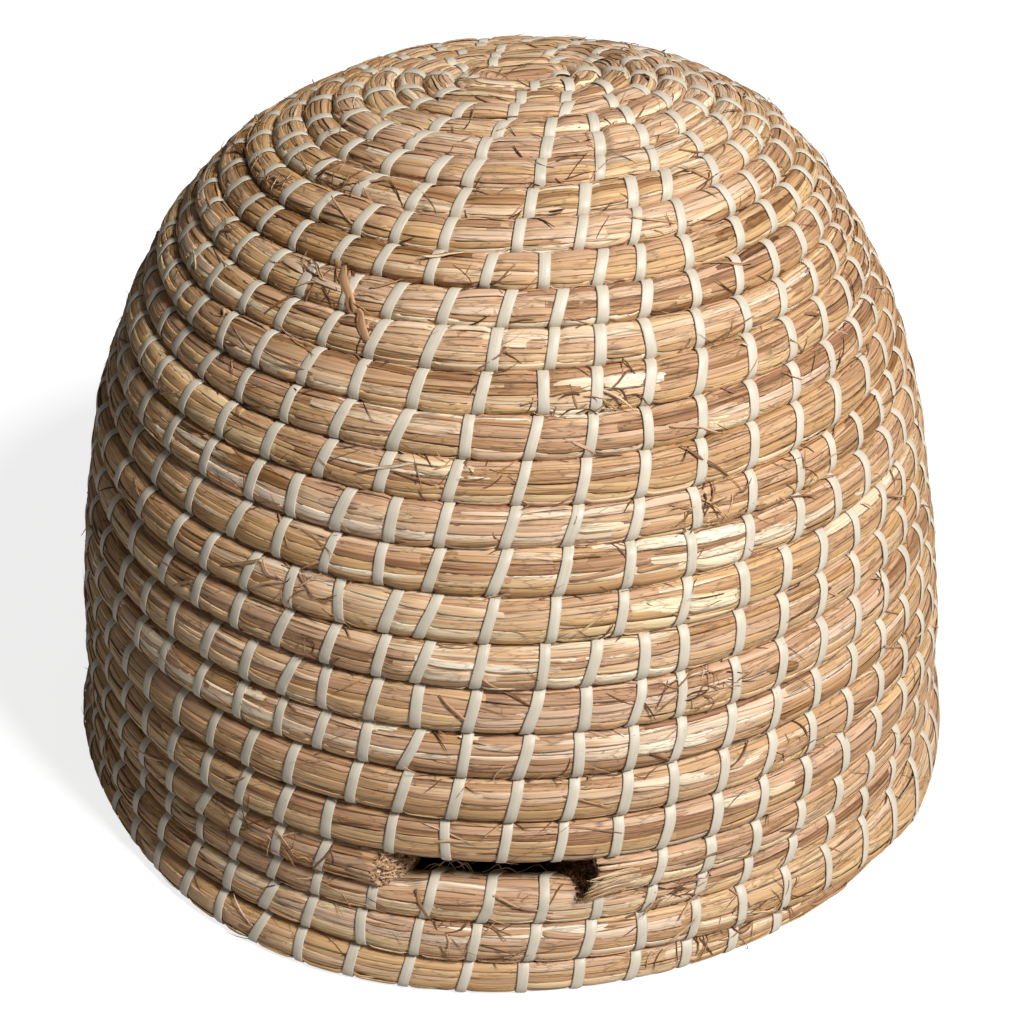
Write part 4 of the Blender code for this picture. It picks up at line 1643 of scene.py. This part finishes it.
def make_loose_ends(name, node, random, kind, turns, angle, heading, material):
    """Thin straws that lie on the rope and peel off it towards their free end."""
    values = KINDS[kind]
    count = len(turns)
    steps = values["stations"] - 1
    share = np.linspace(0, 1, steps + 1)[None, :]
    swing = random.normal(0, LOOSE_END_SWING * values["curl"], (count, 1)) * np.sin(share * math.tau)
    direction = heading[:, None] + random.normal(0, values["curl"], (count, 1)) * share + swing
    step = random.uniform(*values["length"], (count, 1)) / steps
    _, _, depth = rope_size(turns)
    path_turns = turns[:, None] + np.cumsum(np.cos(direction) * step, axis=1) / length_of_turn(turns)[:, None]
    path_angle = angle[:, None] + np.cumsum(np.sin(direction) * step, axis=1) * 2 / depth[:, None]
    path_angle = np.clip(path_angle, LEAST_ANGLE, math.pi - LEAST_ANGLE)
    peel = np.abs(random.normal(0, values["peel"], (count, 1))) * share ** 2
    lift = random.uniform(*LOOSE_END_LIFT, (count, 1)) + peel
    paths, ups = with_ups(path_turns, path_angle, lift)
    tip = 1 - LOOSE_END_NARROWING * share ** 3
    root = 1 - LOOSE_END_ROOT_NARROWING * (1 - share) ** 4
    half = random.uniform(*values["half"], (count, 1)) * tip * root
    gold = random.uniform(*LOOSE_END_GOLD, (count, 1, 1))
    make_strands(
        name, node, material, random, paths, half, ups=ups, sides=THIN_SIDES, tones=values["tone"], gold=gold,
        flatness=values["flat"], metres=share * step * steps,
    )


def scattered(random, kind, first, last):
    """Starting places and headings of loose ends, at the edges of the rows or anywhere outside."""
    turns = scattered_turns(random, first, last, PER_METRE[kind])
    count = len(turns)
    at_edge = random.uniform(0, 1, count) < AT_EDGE[kind]
    below = random.uniform(0, 1, count) < LOWER_EDGE_SHARE
    edge = np.where(below, random.normal(*LOWER_EDGE, count), random.normal(*UPPER_EDGE, count))
    angle = np.where(at_edge, edge, random.uniform(*BETWEEN_EDGES, count))
    return turns, angle, headings(random, HEADING_SPREAD, count)


def make_tangles(random, material):
    ropes = {"lower": [], "upper": []}
    for height, azimuth, count, spread in TANGLES:
        turn, angle = turns_at(height, azimuth)
        per_metre = 1 / float(length_of_turn(np.array(turn)))
        turns = turn + random.normal(0, spread * TANGLE_LENGTHENING, count) * per_metre
        angles = angle + random.normal(0, TANGLE_BREADTH, count)
        ropes[rope_at(turn)].append((turns, angles))
    for rope, places in ropes.items():
        turns, angles = (np.concatenate(values) for values in zip(*places))
        heading = headings(random, TANGLE_HEADING, len(turns))
        name, node = f"tangles_{rope}", f"straw_rope_{rope}"
        make_loose_ends(name, node, random, "tangle", turns, angles, heading, material)


def make_row_straws(random, material):
    """The straws that stand out, each laid along its row and under the stitches."""
    share = np.linspace(0, 1, ROW_STRAW_STATIONS)
    sink = ROW_STRAW_END_SINK * (1 - taper(share, ROW_STRAW_END, 0.0))
    groups = {"lower": [], "upper": []}
    for height0, azimuth0, height1, azimuth1, width, tone, gold, shine in ROW_STRAWS:
        start, angle0 = turns_at(height1, math.radians(azimuth1))
        end, angle1 = turns_at(height0, math.radians(azimuth0))
        angle = angle0 + (angle1 - angle0) * share[None, :]
        turns = stations_along(np.array([start]), np.array([end]), ROW_STRAW_STATIONS, angle)
        _, _, depth = rope_size(turns)
        half = width / depth * taper(share, ROW_STRAW_TIP, ROW_STRAW_TIP_WIDTH)
        lift = ROW_STRAW_LIFT - sink + 0 * turns
        look = np.array([(tone, gold, shine)])
        groups[rope_at(end)].append(Straws(turns, angle, half, lift, look, own_numbers(random, 1)))
    for rope, straws in groups.items():
        name, node = f"straws_standing_out_{rope}", f"straw_rope_{rope}"
        make_straws(name, joined(straws), material, node, random, ROW_STRAW_ROUNDING)


def make_crossing_straws(random, material):
    """Dry straws that have come loose and lie across the rows, and one dark strip that is a painted shadow of
    the broadest.
    """
    share = np.linspace(0, 1, CROSSING_STATIONS)
    for number, straw in enumerate(CROSSING_STRAWS, start=1):
        height0, azimuth0, height1, azimuth1, width, tone, gold = straw
        heights = height0 + (height1 - height0) * share
        azimuths = np.radians(azimuth0 + (azimuth1 - azimuth0) * share)
        places = [turns_at(height, azimuth) for height, azimuth in zip(heights, azimuths)]
        turns, angles = (np.array(values) for values in zip(*places))
        path = on_rope(turns, np.clip(angles, *CROSSING_ANGLES), CROSSING_LIFT)
        path = (path[:-2] + path[1:-1] + path[2:]) / 3
        half = width / 2 * taper(share[1:-1], CROSSING_TIP, CROSSING_TIP_WIDTH)[None]
        name, node = f"crossing_straw_{number:02d}", f"straw_rope_{rope_at(turns[0])}"
        make_strands(
            name, node, material, random, path[None], half, ups=(path * CROSSING_UPS)[None],
            sides=CROSSING_SIDES, tones=(tone, tone), gold=gold, flatness=CROSSING_THICKNESS / half,
            metres=metres_along(path),
        )


def make_all_loose_ends():
    material = straw_material("straw_loose_ends")
    random = np.random.default_rng(LOOSE_END_SEED)
    ropes = (
        ("lower", FREE_OF_ROPE_END, LOWER_ROPE_TOP - FREE_OF_CUT),
        ("upper", UPPER_ROPE_END + FREE_OF_CUT, TOP_TURNS - FREE_OF_CROWN),
    )
    for rope, first, last in ropes:
        for kind in PER_METRE:
            turns, angle, heading = scattered(random, kind, first, last)
            name, node = f"{kind}s_{rope}", f"straw_rope_{rope}"
            make_loose_ends(name, node, random, kind, turns, angle, heading, material)
    make_tangles(random, material)
    make_row_straws(random, material)
    make_crossing_straws(random, material)


# Camera, lights and floor


def make_camera():
    aim = Vector(CAMERA_AIM)
    back = Vector((0, -math.cos(CAMERA_ELEVATION), math.sin(CAMERA_ELEVATION)))
    data = bpy.data.cameras.new("camera")
    data.lens = CAMERA_LENS
    data.sensor_width = CAMERA_SENSOR
    camera = add_object("camera", data)
    camera.location = aim + back * CAMERA_DISTANCE
    facing = (-back).to_track_quat("-Z", "Y").to_matrix().to_4x4()
    roll = facing @ facing.Rotation(CAMERA_ROLL, 4, "Z")
    camera.rotation_euler = roll.to_euler()
    bpy.context.scene.camera = camera


def make_area_light(name, azimuth, elevation, distance, size, power):
    """A soft square light aimed at the skep, so far round from the front towards +X, and so far up."""
    direction = Vector((
        math.sin(azimuth) * math.cos(elevation), -math.cos(azimuth) * math.cos(elevation), math.sin(elevation)
    ))
    data = bpy.data.lights.new(name, "AREA")
    data.shape = "SQUARE"
    data.size = size
    data.energy = power
    light = add_object(name, data)
    light.location = Vector((0, 0, CROWN_HEIGHT / 2)) + direction * distance
    light.rotation_euler = (-direction).to_track_quat("-Z", "Y").to_euler()


def make_world():
    world = bpy.data.worlds.new("studio")
    world.use_nodes = True
    nodes = world.node_tree.nodes
    links = world.node_tree.links
    background = nodes["Background"]
    background.inputs["Color"].default_value = (1.0, 1.0, 1.0, 1.0)
    path = nodes.new("ShaderNodeLightPath")
    strength = nodes.new("ShaderNodeMapRange")
    strength.inputs["To Min"].default_value = WORLD_STRENGTH
    strength.inputs["To Max"].default_value = 1.0
    links.new(path.outputs["Is Camera Ray"], strength.inputs["Value"])
    links.new(strength.outputs["Result"], background.inputs["Strength"])
    bpy.context.scene.world = world


def make_floor():
    """A pale floor that keeps the skep's shadow, and glows white to the camera outside the skep."""
    half = FLOOR_SIZE / 2
    corners = [(-half, -half, 0), (half, -half, 0), (half, half, 0), (-half, half, 0)]
    mesh = bpy.data.meshes.new("floor")
    mesh.from_pydata(corners, [], [(0, 1, 2, 3)])
    nodes = Nodes("floor")
    nodes.shader.inputs["Roughness"].default_value = FLOOR_ROUGHNESS
    nodes.shader.inputs["Emission Color"].default_value = (1.0, 1.0, 1.0, 1.0)
    position = nodes.add("ShaderNodeNewGeometry").outputs["Position"]
    reach = nodes.add("ShaderNodeVectorMath", {0: position}, operation="LENGTH").outputs["Value"]
    outside = nodes.math("GREATER_THAN", reach, FLOOR_GLOW_FROM)
    # Under the skep the floor is painted almost black: a painted shadow for the skep's closed inside
    shade = nodes.span(outside, 0.0, 1.0, FLOOR_PAINTED_SHADOW_INSIDE, FLOOR_SHADE)
    nodes.put(nodes.shader.inputs["Base Color"], shade)
    seen = nodes.add("ShaderNodeLightPath").outputs["Is Camera Ray"]
    strength = nodes.span(reach, *FLOOR_GLOW_REACH, *FLOOR_GLOW)
    glow = nodes.math("MULTIPLY", nodes.math("MULTIPLY", seen, outside), strength)
    nodes.put(nodes.shader.inputs["Emission Strength"], glow)
    mesh.materials.append(nodes.material)
    add_object("floor", mesh)


def make_stage():
    make_camera()
    make_area_light("key_light", KEY_AZIMUTH, KEY_ELEVATION, KEY_DISTANCE, KEY_SIZE, KEY_POWER)
    make_area_light("fill_light", FILL_AZIMUTH, FILL_ELEVATION, FILL_DISTANCE, FILL_SIZE, FILL_POWER)
    make_world()
    make_floor()
    bpy.context.scene.view_settings.view_transform = "Standard"


def main():
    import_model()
    make_ropes()
    make_lips()
    make_cut_ends()
    make_crown_knot()
    make_canes()
    make_all_loose_ends()
    make_stage()


main()
